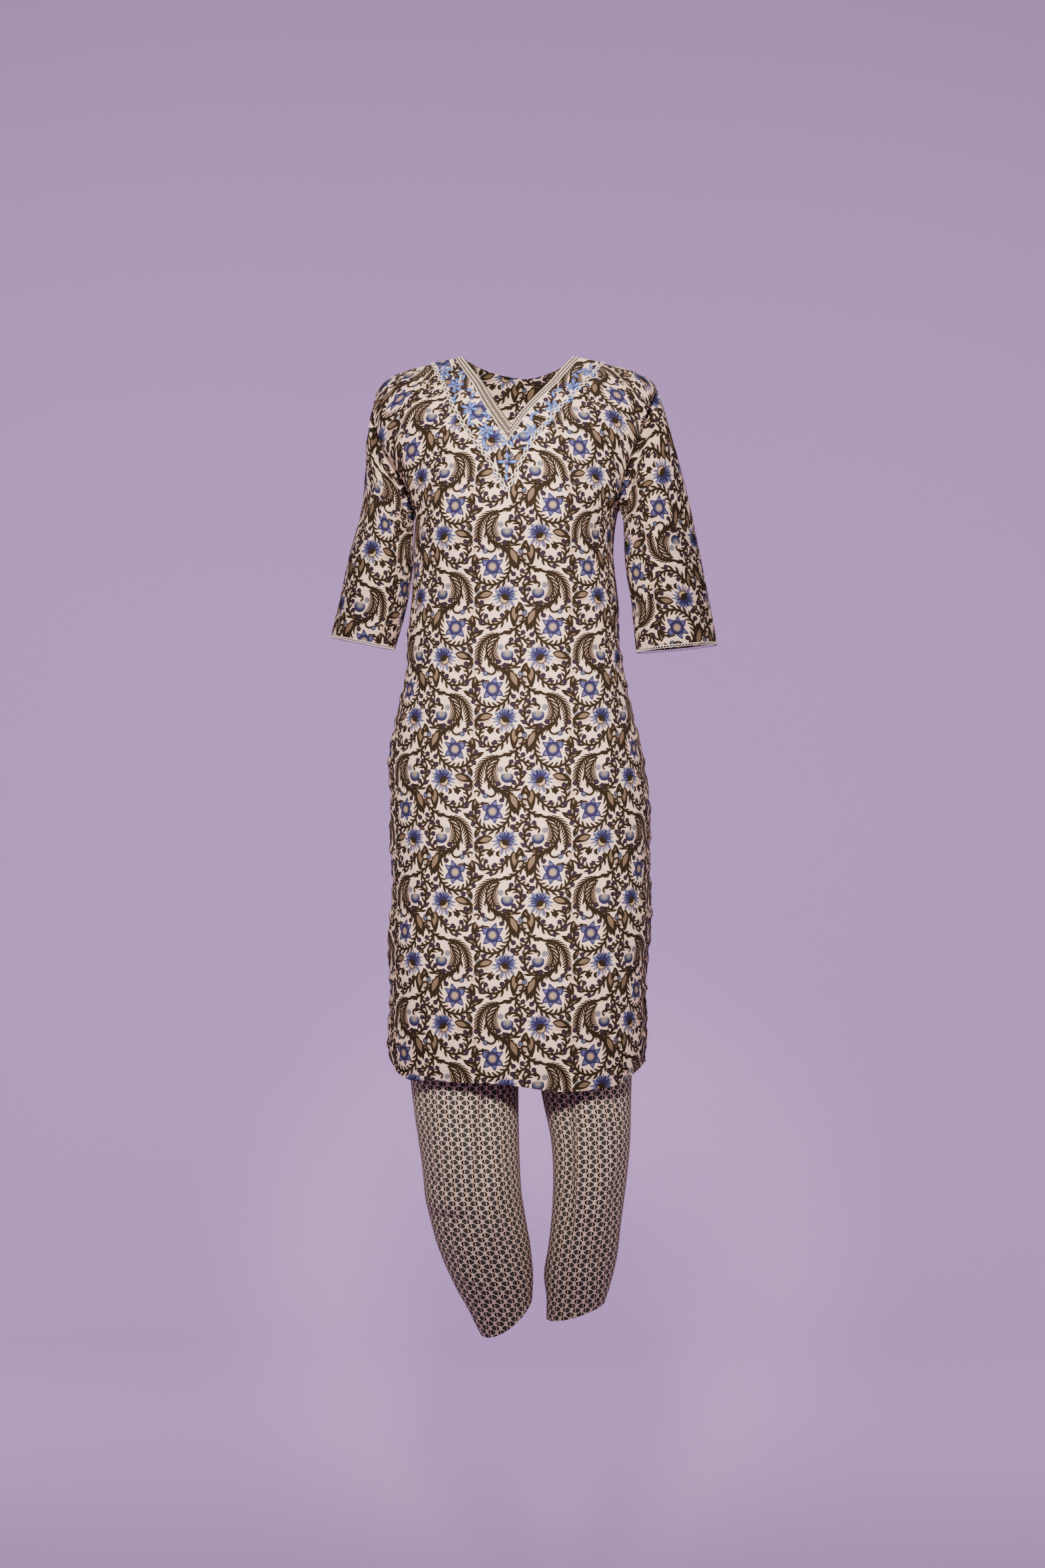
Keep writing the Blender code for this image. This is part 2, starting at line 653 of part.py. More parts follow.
def hip_point(share, height, sign, inset):
    """Half of the trousers above the crotch, from centre front round the side to centre back."""
    angle = math.pi * share
    reach = sign * max(math.sin(angle), 0.0) ** (2 / SECTION_POWER)
    face = "front" if share <= 0.5 else "back"
    point = body_point(reach, height, face, inset)
    if share in (0.0, 1.0):
        point[0] = sign * SEAM_GAP / 2 + centre_line(height)
    return turned(point)


def centre_line(height):
    return CENTRE_DRIFT * smooth_step(WAIST_SEAM, CROTCH, height)


def leg_point(share, height, table, sign, cuff, lowered):
    angle = 2.0 * math.pi * share
    inner, outer = read(table, "inner", height), read(table, "outer", height)
    middle, half = (inner + outer) / 2, abs(outer - inner) / 2
    x = middle - sign * half * math.cos(angle)
    reach = read(table, "front", height) if share <= 0.5 else read(table, "back", height)
    y = -math.sin(angle) * reach
    if share == 0.0:
        y -= SEAM_GAP / 2
    if share == 1.0:
        y += SEAM_GAP / 2
    z = height + lowered * (cuff.rise_across * (x - middle) - cuff.dip_at_front * math.sin(angle))
    return np.array((x, y, z))


def level_leg_seams(grid, normals):
    """Lay the seam rims flat: in the centre plane down to the crotch, and level below it."""
    for end, sense in ((0, 1.0), (-1, -1.0)):
        run = np.gradient(grid[:, end], axis=0)
        for row in range(len(grid)):
            if row < HIP_ROWS:
                normals[row, end] = sense * np.array((0.0, run[row, 2], -run[row, 1]))
            else:
                normals[row, end, 1] = 0.0


def make_leg(side, table, cuff):
    sign = -1.0 if side == "left" else 1.0
    shares = [index / LEG_COLUMNS for index in range(LEG_COLUMNS + 1)]
    grid = []
    for step in range(HIP_ROWS):
        height = WAIST_SEAM - SEAM_GAP + (CROTCH - WAIST_SEAM) * step / HIP_ROWS
        inset = WAIST_INSET + HIP_INSET * smooth_step(WAIST_SEAM, HIP_INSET_FULL, height)
        blend = smooth_step(HIP_LINE, CROTCH, height)
        row = []
        for share in shares:
            upper = hip_point(share, height, sign, inset)
            lower = leg_point(share, max(height, CROTCH), table, sign, cuff, 0.0)
            lower[2] = height
            row.append(upper * (1 - blend) + lower * blend)
        grid.append(row)
    bottom = table[-1].height
    for step in range(LEG_ROWS + 1):
        height = CROTCH + (bottom - CROTCH) * step / LEG_ROWS
        lowered = smooth_step(HEM_TILT_START, bottom, height)
        grid.append([leg_point(share, height, table, sign, cuff, lowered) for share in shares])
    grid = np.array(grid)
    normals = grid_normals(grid, closed=False)
    sense = -1.0 if normals[-3, LEG_COLUMNS // 4, 1] > 0 else 1.0
    strengths = [smooth_step(HIP_LINE, CROTCH, point[2]) for point in grid[:, LEG_COLUMNS // 2]]
    folds = LEFT_LEG_FOLDS if side == "left" else RIGHT_LEG_FOLDS
    grid = press_folds(grid, normals * sense, shares, strengths, folds)
    normals = grid_normals(grid, closed=False) * sense
    level_leg_seams(grid, normals)
    normals[0, :, 2] = 0.0
    normals /= np.linalg.norm(normals, axis=2, keepdims=True)
    piece = cloth_solid("salwar_leg_" + side, grid, wall_inside(grid, normals, CLOTH_WALL), closed=False)
    piece.data.materials.append(salwar_cloth)


def make_waistband():
    shares = [index / LEG_COLUMNS for index in range(1, LEG_COLUMNS)]
    grid = []
    for height in np.linspace(WAIST_SEAM, WAIST_TOP, WAISTBAND_ROWS + 1):
        front = turned(body_point(0.0, height, "front", WAIST_INSET))
        left = [hip_point(share, height, -1.0, WAIST_INSET) for share in shares]
        back = turned(body_point(0.0, height, "back", WAIST_INSET))
        right = [hip_point(1.0 - share, height, 1.0, WAIST_INSET) for share in shares]
        grid.append([front] + left + [back] + right)
    grid = np.array(grid)
    normals = grid_normals(grid, closed=True)
    if normals[0, 0, 1] > 0:
        normals = -normals
    normals[:, :, 2] = 0.0
    normals /= np.linalg.norm(normals, axis=2, keepdims=True)
    piece = cloth_solid("salwar_waistband", grid, wall_inside(grid, normals, CLOTH_WALL), closed=True)
    piece.data.materials.append(salwar_cloth)


def fabric(name, colour, roughness):
    material = bpy.data.materials.new(name)
    material.use_nodes = True
    shader = material.node_tree.nodes["Principled BSDF"]
    shader.inputs["Base Color"].default_value = (*colour, 1.0)
    shader.inputs["Roughness"].default_value = roughness
    shader.inputs["Metallic"].default_value = 0.0
    return material


for leftover in list(bpy.data.objects):
    bpy.data.objects.remove(leftover, do_unlink=True)

suit = bpy.data.collections.new("salwar_kameez_suit")
bpy.context.scene.collection.children.link(suit)

kameez_cloth = fabric("kameez_cloth", (0.62, 0.53, 0.46), 0.88)
yoke_cloth = fabric("yoke_cloth", (0.48, 0.52, 0.66), 0.88)
white_lace = fabric("white_lace", (0.84, 0.82, 0.80), 0.85)
salwar_cloth = fabric("salwar_cloth", (0.42, 0.33, 0.28), 0.88)

STRIPS = (
    Strip("neck_binding_", 0.004, 0.195, 0.0010, 5, kameez_cloth),
    Strip("neck_piping_", 0.203, 0.240, 0.0016, 2, white_lace),
    Strip("yoke_band_", 0.248, 0.892, 0.0010, 5, yoke_cloth),
    Strip("yoke_lace_", 0.900, 0.996, 0.0014, 2, white_lace),
)

front_panel = make_panel("front")
back_panel = make_panel("back")
make_sleeve("left", LEFT_RINGS, front_panel, back_panel)
make_sleeve("right", RIGHT_RINGS, front_panel, back_panel)
for strip in STRIPS:
    make_strip(strip, "left")
    make_strip(strip, "right")
make_leg("left", LEFT_LEG, LEFT_CUFF)
make_leg("right", RIGHT_LEG, RIGHT_CUFF)
make_waistband()
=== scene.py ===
# Salwar kameez suit as worn: the cloth, prints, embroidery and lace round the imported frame.
import math

import bmesh
import bpy
import numpy as np
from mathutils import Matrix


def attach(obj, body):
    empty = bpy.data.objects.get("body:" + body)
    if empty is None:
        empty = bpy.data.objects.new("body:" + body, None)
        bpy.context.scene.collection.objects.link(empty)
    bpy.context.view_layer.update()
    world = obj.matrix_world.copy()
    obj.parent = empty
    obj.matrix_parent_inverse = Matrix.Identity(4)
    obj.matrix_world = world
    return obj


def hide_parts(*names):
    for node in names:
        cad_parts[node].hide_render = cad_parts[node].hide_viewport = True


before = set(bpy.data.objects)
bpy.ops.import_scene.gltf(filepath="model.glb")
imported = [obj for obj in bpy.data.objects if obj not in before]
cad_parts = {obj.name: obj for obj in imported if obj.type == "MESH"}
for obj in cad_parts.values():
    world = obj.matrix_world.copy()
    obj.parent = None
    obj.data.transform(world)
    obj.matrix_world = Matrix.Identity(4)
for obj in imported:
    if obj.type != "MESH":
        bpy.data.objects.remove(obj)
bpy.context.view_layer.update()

# Metres. The front faces -Y, +Z is up, the neck points of the shoulders lie at z = 0.
# Left and right are as the viewer in front sees them.
cut = {
    "turn": math.radians(-6.0),      # the whole kameez stands turned about the upright axis
    "underarm": -0.212,
    "slitTop": -0.600,
    "neckPoint": -0.105,             # lowest point of the V neck
    "yokePoint": -0.2015,            # lowest point of the yoke
    "neckReach": 0.393,
    "neckShift": 0.056,              # how far the V's point lies to one side
    "yokeReach": 0.622,
    "backNeckDrop": 0.022,
    "shoulderTilt": 0.0022,
    "sectionPower": 2.6,
    "seamGap": 0.0003,
    "armholeGap": 0.0002,
    "wall": 0.0009,
    "trimLift": 0.0007,
}
chestRounding = {"front": (2.3, 0.85, 0.048), "back": (2.3, 0.62, 0.044)}   # power, root, armhole depth
slit = {
    "spread": {"front": 0.034, "back": 0.060},
    "wave": 0.0030, "waveRate": 26.0,
    "sideWave": 0.0020, "sideRates": (46.0, 39.0), "sideTop": -0.52,
    "sideRipple": 0.0009, "rippleRates": (4.7, 7.9), "rippleTop": -0.30,
}
bust = {"depth": 0.007, "side": 0.070, "height": -0.238, "halfWidth": 0.050, "halfHeight": 0.060}
waist = {
    "top": -0.352, "seam": -0.386, "hipLine": -0.520, "crotch": -0.720, "hemTilt": -1.08,
    "inset": 0.0036, "hipInset": 0.0070, "hipInsetFull": -0.48, "drift": 0.0122,
}


def columns(names, *rows):
    grid = np.array(rows, float)
    return {name: grid[:, index] for index, name in enumerate(names.split())}


body = columns(
    "height left right front back",
    (-0.0440, -0.1870, 0.1920, 0.124, 0.098),
    (-0.0850, -0.1880, 0.1795, 0.124, 0.098),
    (-0.1300, -0.1720, 0.1625, 0.124, 0.098),
    (-0.1600, -0.1540, 0.1520, 0.124, 0.098),
    (-0.1900, -0.1410, 0.1435, 0.124, 0.098),
    (-0.2120, -0.1350, 0.1375, 0.124, 0.098),
    (-0.2400, -0.1350, 0.1330, 0.124, 0.096),
    (-0.2700, -0.1360, 0.1315, 0.119, 0.091),
    (-0.3050, -0.1380, 0.1350, 0.113, 0.084),
    (-0.3400, -0.1405, 0.1390, 0.108, 0.079),
    (-0.3800, -0.1460, 0.1395, 0.106, 0.079),
    (-0.4200, -0.1465, 0.1450, 0.108, 0.086),
    (-0.4750, -0.1580, 0.1560, 0.114, 0.101),
    (-0.5450, -0.1715, 0.1730, 0.121, 0.118),
    (-0.6200, -0.1680, 0.1800, 0.125, 0.127),
    (-0.7000, -0.1670, 0.1825, 0.127, 0.127),
    (-0.8000, -0.1700, 0.1790, 0.129, 0.125),
    (-0.9000, -0.1690, 0.1750, 0.130, 0.123),
    (-1.0000, -0.1680, 0.1690, 0.131, 0.121),
)
ridge = columns(
    "reach height",
    (0.000, 0.0100), (0.393, -0.0030), (0.622, -0.0120), (0.800, -0.0205),
    (0.900, -0.0285), (0.960, -0.0365), (1.000, -0.0460),
)
hem = columns(
    "reach front back",
    (-1.00, -0.938, -0.944), (-0.90, -0.959, -0.958), (-0.55, -0.968, -0.966), (0.00, -0.972, -0.968),
    (0.45, -0.981, -0.970), (0.70, -0.978, -0.968), (0.90, -0.970, -0.962), (1.00, -0.953, -0.955),
)
# Sleeve rings: middle, lean from level in degrees, half width and half depth.
sleeveRings = {
    "left": columns(
        "side height depth lean halfWidth halfDepth",
        (-0.1775, -0.236, -0.006, 8.0, 0.0385, 0.0550),
        (-0.1828, -0.276, -0.009, 10.0, 0.0440, 0.0570),
        (-0.1920, -0.331, -0.014, 11.5, 0.0455, 0.0570),
        (-0.2050, -0.386, -0.020, 11.5, 0.0440, 0.0570),
    ),
    "right": columns(
        "side height depth lean halfWidth halfDepth",
        (0.1925, -0.226, -0.006, 6.0, 0.0465, 0.0550),
        (0.1985, -0.276, -0.009, 8.0, 0.0505, 0.0570),
        (0.2083, -0.330, -0.014, 8.0, 0.0515, 0.0570),
        (0.2180, -0.3945, -0.020, 5.5, 0.0545, 0.0580),
    ),
}
# Legs: inner and outer edge seen from the front, and the reach to the front and to the back.
legs = {
    "left": columns(
        "height inner outer front back",
        (-0.720, 0.0118, -0.1600, 0.098, 0.098),
        (-0.850, 0.0085, -0.1530, 0.090, 0.092),
        (-0.996, 0.0036, -0.1404, 0.084, 0.080),
        (-1.086, 0.0054, -0.1278, 0.082, 0.066),
        (-1.140, 0.0081, -0.1200, 0.082, 0.056),
        (-1.190, 0.0145, -0.1025, 0.072, 0.056),
        (-1.230, 0.0200, -0.0815, 0.060, 0.056),
        (-1.262, 0.0230, -0.0630, 0.050, 0.056),
        (-1.292, 0.0225, -0.0495, 0.046, 0.054),
    ),
    "right": columns(
        "height inner outer front back",
        (-0.720, 0.0125, 0.1660, 0.096, 0.098),
        (-0.850, 0.0235, 0.1630, 0.088, 0.092),
        (-0.996, 0.0345, 0.1560, 0.080, 0.082),
        (-1.060, 0.0475, 0.1545, 0.074, 0.074),
        (-1.140, 0.0495, 0.1467, 0.068, 0.066),
        (-1.190, 0.0445, 0.1405, 0.062, 0.062),
        (-1.230, 0.0380, 0.1365, 0.056, 0.060),
        (-1.262, 0.0415, 0.1290, 0.051, 0.058),
        (-1.2875, 0.0414, 0.1205, 0.049, 0.055),
    ),
}
legCuffs = {"left": (0.62, 0.018), "right": (0.294, 0.003)}   # rise across, dip at the front

# Folds: side, height, heading from level in degrees, half length, half width, depth.
panelFolds = {
    "front": (
        (-0.122, -0.170, 62.0, 0.060, 0.0150, -0.0035),
        (-0.104, -0.205, 68.0, 0.060, 0.0150, 0.0030),
        (0.124, -0.168, -60.0, 0.050, 0.0150, -0.0035),
        (0.106, -0.200, -66.0, 0.045, 0.0150, 0.0030),
        (-0.110, -0.352, 6.0, 0.036, 0.0180, -0.0025),
        (0.108, -0.365, -16.0, 0.040, 0.0180, -0.0025),
        (-0.125, -0.820, 84.0, 0.130, 0.0200, 0.0035),
        (0.125, -0.800, 95.0, 0.140, 0.0200, -0.0035),
    ),
    "back": (
        (-0.112, -0.160, 64.0, 0.055, 0.0160, -0.0035),
        (0.114, -0.165, -64.0, 0.055, 0.0160, -0.0035),
        (0.010, -0.352, 3.0, 0.060, 0.0180, -0.0030),
        (-0.085, -0.800, 88.0, 0.150, 0.0220, 0.0045),
        (0.070, -0.820, 93.0, 0.150, 0.0220, -0.0045),
    ),
}
sleeveFolds = {
    "left": {
        "front": (
            (-0.178, -0.112, -50.0, 0.030, 0.0110, -0.0035),
            (-0.190, -0.132, -48.0, 0.030, 0.0110, 0.0040),
            (-0.156, -0.262, 57.0, 0.032, 0.0110, -0.0035),
            (-0.168, -0.290, 57.0, 0.030, 0.0120, 0.0030),
            (-0.178, -0.338, 62.0, 0.030, 0.0120, -0.0030),
            (-0.214, -0.310, 78.0, 0.050, 0.0130, 0.0025),
        ),
        "back": (
            (-0.172, -0.150, -40.0, 0.040, 0.0120, -0.0040),
            (-0.180, -0.290, 30.0, 0.035, 0.0120, -0.0035),
            (-0.190, -0.318, 24.0, 0.035, 0.0120, 0.0030),
        ),
    },
    "right": {
        "front": (
            (0.172, -0.158, 35.0, 0.035, 0.0110, -0.0040),
            (0.186, -0.186, 30.0, 0.040, 0.0120, 0.0035),
            (0.223, -0.255, -75.0, 0.050, 0.0120, -0.0035),
            (0.204, -0.268, -78.0, 0.045, 0.0120, 0.0025),
            (0.171, -0.300, -60.0, 0.030, 0.0120, -0.0030),
            (0.226, -0.350, 84.0, 0.035, 0.0120, -0.0025),
        ),
        "back": (
            (0.176, -0.152, 40.0, 0.040, 0.0120, -0.0040),
            (0.196, -0.285, -28.0, 0.035, 0.0120, -0.0035),
            (0.206, -0.315, -22.0, 0.035, 0.0120, 0.0030),
        ),
    },
}
legFolds = {
    "left": {
        "front": (
            (-0.083, -1.163, -8.0, 0.045, 0.0120, -0.0035),
            (-0.083, -1.138, -8.0, 0.050, 0.0140, 0.0025),
            (-0.043, -1.060, 86.0, 0.090, 0.0140, -0.0035),
            (-0.022, -1.215, 80.0, 0.060, 0.0130, -0.0030),
            (-0.092, -0.900, 80.0, 0.110, 0.0160, 0.0030),
        ),
        "back": (
            (-0.060, -1.128, 9.0, 0.050, 0.0140, -0.0040),
            (-0.058, -1.158, 5.0, 0.045, 0.0140, 0.0025),
            (-0.070, -0.920, 84.0, 0.120, 0.0170, -0.0035),
        ),
    },
    "right": {
        "front": (
            (0.068, -1.080, 90.0, 0.130, 0.0120, -0.0040),
            (0.088, -1.080, 88.0, 0.130, 0.0130, 0.0030),
            (0.120, -1.040, 75.0, 0.100, 0.0140, -0.0035),
            (0.110, -1.195, -72.0, 0.060, 0.0130, -0.0030),
            (0.100, -0.880, 95.0, 0.110, 0.0160, 0.0030),
        ),
        "back": (
            (0.095, -1.118, -8.0, 0.050, 0.0140, -0.0040),
            (0.095, -1.148, -4.0, 0.045, 0.0140, 0.0025),
            (0.105, -0.920, 96.0, 0.120, 0.0170, -0.0035),
        ),
    },
}

mesh = {
    "outerColumns": 34, "neckColumns": 52, "skirtRows": 200, "hemRows": 12, "chestRows": 52,
    "capRows": 26, "sleeveRows": 84, "legColumns": 96, "hipRows": 60, "legRows": 190, "stripRows": 150,
    "bandRows": 12,
}


# Curves and surfaces of the cut.
def hermite(t, start, end, leave, arrive):
    fromStart = (2 * t ** 3 - 3 * t ** 2 + 1) * start + (t ** 3 - 2 * t ** 2 + t) * leave
    return fromStart + (3 * t ** 2 - 2 * t ** 3) * end + (t ** 3 - t ** 2) * arrive


def smoothCurve(places, values, place):
    order = np.argsort(places)
    knots, heights = places[order], values[order]
    slopes = np.gradient(heights, knots)
    place = np.clip(place, knots[0], knots[-1])
    index = np.clip(np.searchsorted(knots, place) - 1, 0, len(knots) - 2)
    step = knots[index + 1] - knots[index]
    t = (place - knots[index]) / step
    return hermite(t, heights[index], heights[index + 1], step * slopes[index], step * slopes[index + 1])


def bodySize(name, height):
    return smoothCurve(body["height"], body[name], height)


def ridgeHeight(reach):
    return smoothCurve(ridge["reach"], ridge["height"], np.abs(reach)) - cut["shoulderTilt"] * reach


def hemHeight(reach, face):
    return smoothCurve(hem["reach"], hem[face], reach)


def turned(points):
    x, y, z = np.moveaxis(points, -1, 0)
    c, s = math.cos(cut["turn"]), math.sin(cut["turn"])
    return np.stack((x * c - y * s, x * s + y * c, z), axis=-1)


def smoothStep(low, high, value):
    t = np.clip((value - low) / (high - low), 0.0, 1.0)
    return t * t * (3 - 2 * t)


def foldDepth(folds, side, height):
    total = np.zeros(np.broadcast(side, height).shape)
    for foldSide, foldHeight, heading, length, width, depth in folds:
        c, s = math.cos(math.radians(heading)), math.sin(math.radians(heading))
        right, up = side - foldSide, height - foldHeight
        along = (right * c + up * s) / length
        across = (up * c - right * s) / width
        total = total + depth * np.exp(-along ** 2 - across ** 2)
    return total


def slitOpening(height, face):
    drop = np.maximum(cut["slitTop"] - height, 0.0)
    wave = slit["wave"] * np.sin(drop * slit["waveRate"]) * smoothStep(0.0, 0.08, drop)
    return slit["spread"][face] * drop + wave


def sideWave(reach, height):
    drop = smoothStep(0.0, 0.10, slit["sideTop"] - height)
    rate = np.where(reach < 0, slit["sideRates"][0], slit["sideRates"][1])
    wave = slit["sideWave"] * np.sin(height * rate) * drop
    slow, quick = slit["rippleRates"]
    fine = np.sin(height * rate * slow + 1.0) + 0.7 * np.sin(height * rate * quick + reach)
    wave = wave + slit["sideRipple"] * fine * smoothStep(0.0, 0.10, slit["rippleTop"] - height)
    return np.sign(reach) * wave * np.abs(reach) ** 6


def bustDepth(x, height):
    sideways = (np.abs(x) - bust["side"]) / bust["halfWidth"]
    upright = (height - bust["height"]) / bust["halfHeight"]
    return bust["depth"] * np.exp(-sideways ** 2 - upright ** 2)


def bodyPoint(reach, height, face, inset=0.0):
    power = cut["sectionPower"]
    reach, height = np.broadcast_arrays(np.asarray(reach, float), np.asarray(height, float))
    left = bodySize("left", height) + inset
    right = bodySize("right", height) - inset
    depth = bodySize(face, height) - inset
    crown = (1.0 - np.minimum(np.abs(reach), 1.0) ** power) ** (1.0 / power)
    x = left + (right - left) * (reach + 1.0) / 2.0
    edge = cut["seamGap"] / 2
    if inset == 0.0:
        x = x + sideWave(reach, height)
        edge = edge + slitOpening(height, face)
    y = edge + (depth - edge) * crown
    if face == "front":
        y = y + bustDepth(x, height)
    y = y + foldDepth(panelFolds[face], x, height) * crown
    if inset == 0.0:
        y = y + fineCreases(face, x, height) * crown
        y = y + hemSink(height - hemHeight(reach, face), hemTurn["depth"]) * crown
    return np.stack((x, -y if face == "front" else y, height), axis=-1)


def chestPoint(reach, climb, face):
    ridgeTop = ridgeHeight(reach)
    height = cut["underarm"] + (ridgeTop - cut["underarm"]) * climb
    left, right = bodySize("left", height), bodySize("right", height)
    x = left + (right - left) * (reach + 1.0) / 2.0
    power, root, armhole = chestRounding[face]
    climbIn = np.clip(climb, 0.0, 1.0)
    middle = bodySize(face, height) * (1.0 - climbIn ** power) ** root
    edge = cut["seamGap"] / 2 + armhole * 2.0 * np.sqrt(np.maximum(climbIn * (1.0 - climbIn), 0.0))
    flatter = smoothStep(0.0, 0.55, climb)
    reachOut = np.minimum(np.abs(reach), 1.0)
    section = cut["sectionPower"]
    crown = (1.0 - reachOut ** section) ** (1.0 / section + 0.5 * flatter)
    fade = (1.0 - smoothStep(0.80, 1.0, climb)) * (1.0 - reachOut ** 6)
    y = np.maximum(middle, edge * 0.4) * crown + edge * (1.0 - crown) * reachOut ** (4.0 * (1.0 - flatter))
    y = np.where(climb >= 1.0, cut["seamGap"] / 2, y)
    if face == "front":
        y = y + bustDepth(x, height) * fade
    y = y + (foldDepth(panelFolds[face], x, height) + fineCreases(face, x, height)) * fade
    return np.stack((x, -y if face == "front" else y, height), axis=-1)


# Lesser creases of the worn cloth, in the same columns as the folds, and a faint all-over ripple.
lesserCreases = {
    "front": (
        (-0.146, -0.700, 86.0, 0.170, 0.0100, -0.0022), (0.150, -0.730, 93.0, 0.150, 0.0100, -0.0024),
        (-0.052, -0.830, 87.0, 0.150, 0.0260, 0.0014), (0.046, -0.760, 92.0, 0.180, 0.0240, -0.0016),
        (-0.118, -0.318, 12.0, 0.026, 0.0060, -0.0016), (-0.124, -0.338, 4.0, 0.022, 0.0060, 0.0014),
        (-0.120, -0.392, -8.0, 0.030, 0.0070, -0.0016), (0.118, -0.330, -10.0, 0.028, 0.0060, -0.0016),
        (0.124, -0.348, -4.0, 0.024, 0.0060, 0.0013), (0.120, -0.404, 9.0, 0.030, 0.0070, -0.0016),
        (-0.092, -0.150, 72.0, 0.050, 0.0070, -0.0014), (0.096, -0.142, -70.0, 0.046, 0.0070, -0.0014),
        (-0.060, -0.270, 24.0, 0.040, 0.0100, -0.0009), (0.064, -0.276, -20.0, 0.036, 0.0100, -0.0009),
        (-0.138, -0.236, 80.0, 0.050, 0.0060, -0.0030), (-0.122, -0.252, 84.0, 0.056, 0.0060, -0.0024),
        (0.132, -0.236, -80.0, 0.050, 0.0060, -0.0030), (0.116, -0.256, -84.0, 0.056, 0.0060, -0.0024),
        (-0.150, -0.480, 88.0, 0.100, 0.0080, -0.0020), (0.146, -0.500, 92.0, 0.100, 0.0080, -0.0022),
    ),
    "back": (
        (-0.138, -0.690, 87.0, 0.160, 0.0110, -0.0024), (0.140, -0.720, 92.0, 0.160, 0.0110, -0.0022),
        (-0.020, -0.790, 90.0, 0.170, 0.0240, 0.0018), (0.030, -0.700, 88.0, 0.130, 0.0220, -0.0014),
        (-0.060, -0.340, 14.0, 0.044, 0.0080, -0.0018), (-0.040, -0.366, 6.0, 0.040, 0.0070, 0.0014),
        (0.066, -0.344, -12.0, 0.042, 0.0080, -0.0018), (0.052, -0.372, -8.0, 0.036, 0.0070, 0.0013),
        (-0.050, -0.120, 30.0, 0.040, 0.0090, -0.0012), (0.048, -0.128, -32.0, 0.042, 0.0090, -0.0012),
        (0.004, -0.230, 88.0, 0.070, 0.0120, -0.0010),
    ),
}
ripple = {
    "waves": 16, "shortest": 0.026, "longest": 0.085, "height": 0.00022, "seeds": {"front": 11, "back": 12},
}
creaseDepths = {"panel": 1.5, "tube": 1.7}   # times the depths in the tables


def softRipple(side, height, seed):
    draw = np.random.default_rng(seed)
    total = np.zeros(np.broadcast(side, height).shape)
    for _ in range(ripple["waves"]):
        length = draw.uniform(ripple["shortest"], ripple["longest"])
        heading, phase = draw.uniform(0, math.pi), draw.uniform(0, 2 * math.pi)
        along = side * math.cos(heading) + height * math.sin(heading)
        total = total + length / ripple["longest"] * np.sin(2 * math.pi * along / length + phase)
    return total * ripple["height"]


def fineCreases(face, x, height):
    creases = creaseDepths["panel"] * foldDepth(lesserCreases[face], x, height)
    return creases + softRipple(x, height, ripple["seeds"][face])


# Turned-up hem: the stitch line sinks in a little above the edge.
hemTurn = {"depth": 0.014, "cuffDepth": 0.016, "sink": 0.0004, "soft": 0.0016}


def hemSink(above, line):
    return -hemTurn["sink"] * np.exp(-((above - line) / hemTurn["soft"]) ** 2)


def neckClimb(reach, face):
    shift = cut["neckShift"] if face == "front" else 0.0
    sign = np.where(reach < shift, -1.0, 1.0)
    share = np.abs(reach - shift) / (cut["neckReach"] - sign * shift)
    neckPoint = ridgeHeight(sign * cut["neckReach"])
    if face == "front":
        height = cut["neckPoint"] + (neckPoint - cut["neckPoint"]) * share
    else:
        height = neckPoint - cut["backNeckDrop"] * (1.0 - share ** 2)
    climb = (height - cut["underarm"]) / (ridgeHeight(reach) - cut["underarm"])
    return np.where(share >= 1.0 - 1e-9, 1.0, climb)


def yokeClimb(reach):
    share = np.minimum(np.abs(reach) / cut["yokeReach"], 1.0)
    shoulder = ridgeHeight(np.where(reach < 0, -1.0, 1.0) * cut["yokeReach"])
    height = cut["yokePoint"] + (shoulder - cut["yokePoint"]) * share
    climb = (height - cut["underarm"]) / (ridgeHeight(reach) - cut["underarm"])
    return np.minimum(climb, 1.0)


def panelReaches(climb, shift=0.0):
    power, neckReach = cut["sectionPower"], cut["neckReach"]
    neckAngle = math.asin(neckReach ** (power / 2))
    outer = np.linspace(math.pi / 2, neckAngle, mesh["outerColumns"] + 1)[:-1]
    inner = np.linspace(-neckAngle, neckAngle, mesh["neckColumns"] + 1)
    angles = np.concatenate((-outer, inner, outer[::-1]))
    size = np.abs(angles)
    crowded = np.sin(size) ** (2 / power)
    pastNeck = neckReach + (1 - neckReach) * (size - neckAngle) / (math.pi / 2 - neckAngle)
    level = np.where(size > neckAngle, pastNeck, neckReach * size / neckAngle)
    even = smoothStep(0.0, 0.6, climb)
    lean = shift * even * np.clip(1 - size / neckAngle, 0, 1)
    return np.sign(angles) * (crowded + (level - crowded) * even) + lean


def panelGrid(face):
    hemShare = 0.030
    low = np.linspace(0.0, hemShare, mesh["hemRows"], endpoint=False)
    high = np.linspace(hemShare, 1.0, mesh["skirtRows"] - mesh["hemRows"], endpoint=False)
    shares = np.concatenate((low, high))[:, None]
    reaches = panelReaches(0.0)[None, :]
    heights = hemHeight(reaches, face) * (1 - shares) + cut["underarm"] * shares
    skirt = bodyPoint(reaches, heights, face)
    turns = np.arange(mesh["chestRows"] + 1) / mesh["chestRows"]
    climbs = (1.0 - np.cos(np.pi * turns)) / 2.0
    chest = []
    for climb in climbs:
        reach = panelReaches(climb, cut["neckShift"] if face == "front" else 0.0)
        chest.append(chestPoint(reach, climb * neckClimb(reach, face), face))
    return turned(np.concatenate((skirt, np.array(chest))))


def gridNormals(grid, closed):
    padded = np.concatenate((grid[:, -1:], grid, grid[:, :1]), axis=1) if closed else grid
    across = np.gradient(padded, axis=1)
    if closed:
        across = across[:, 1:-1]
    normals = np.cross(across, np.gradient(grid, axis=0))
    return normals / np.maximum(np.linalg.norm(normals, axis=2, keepdims=True), 1e-12)


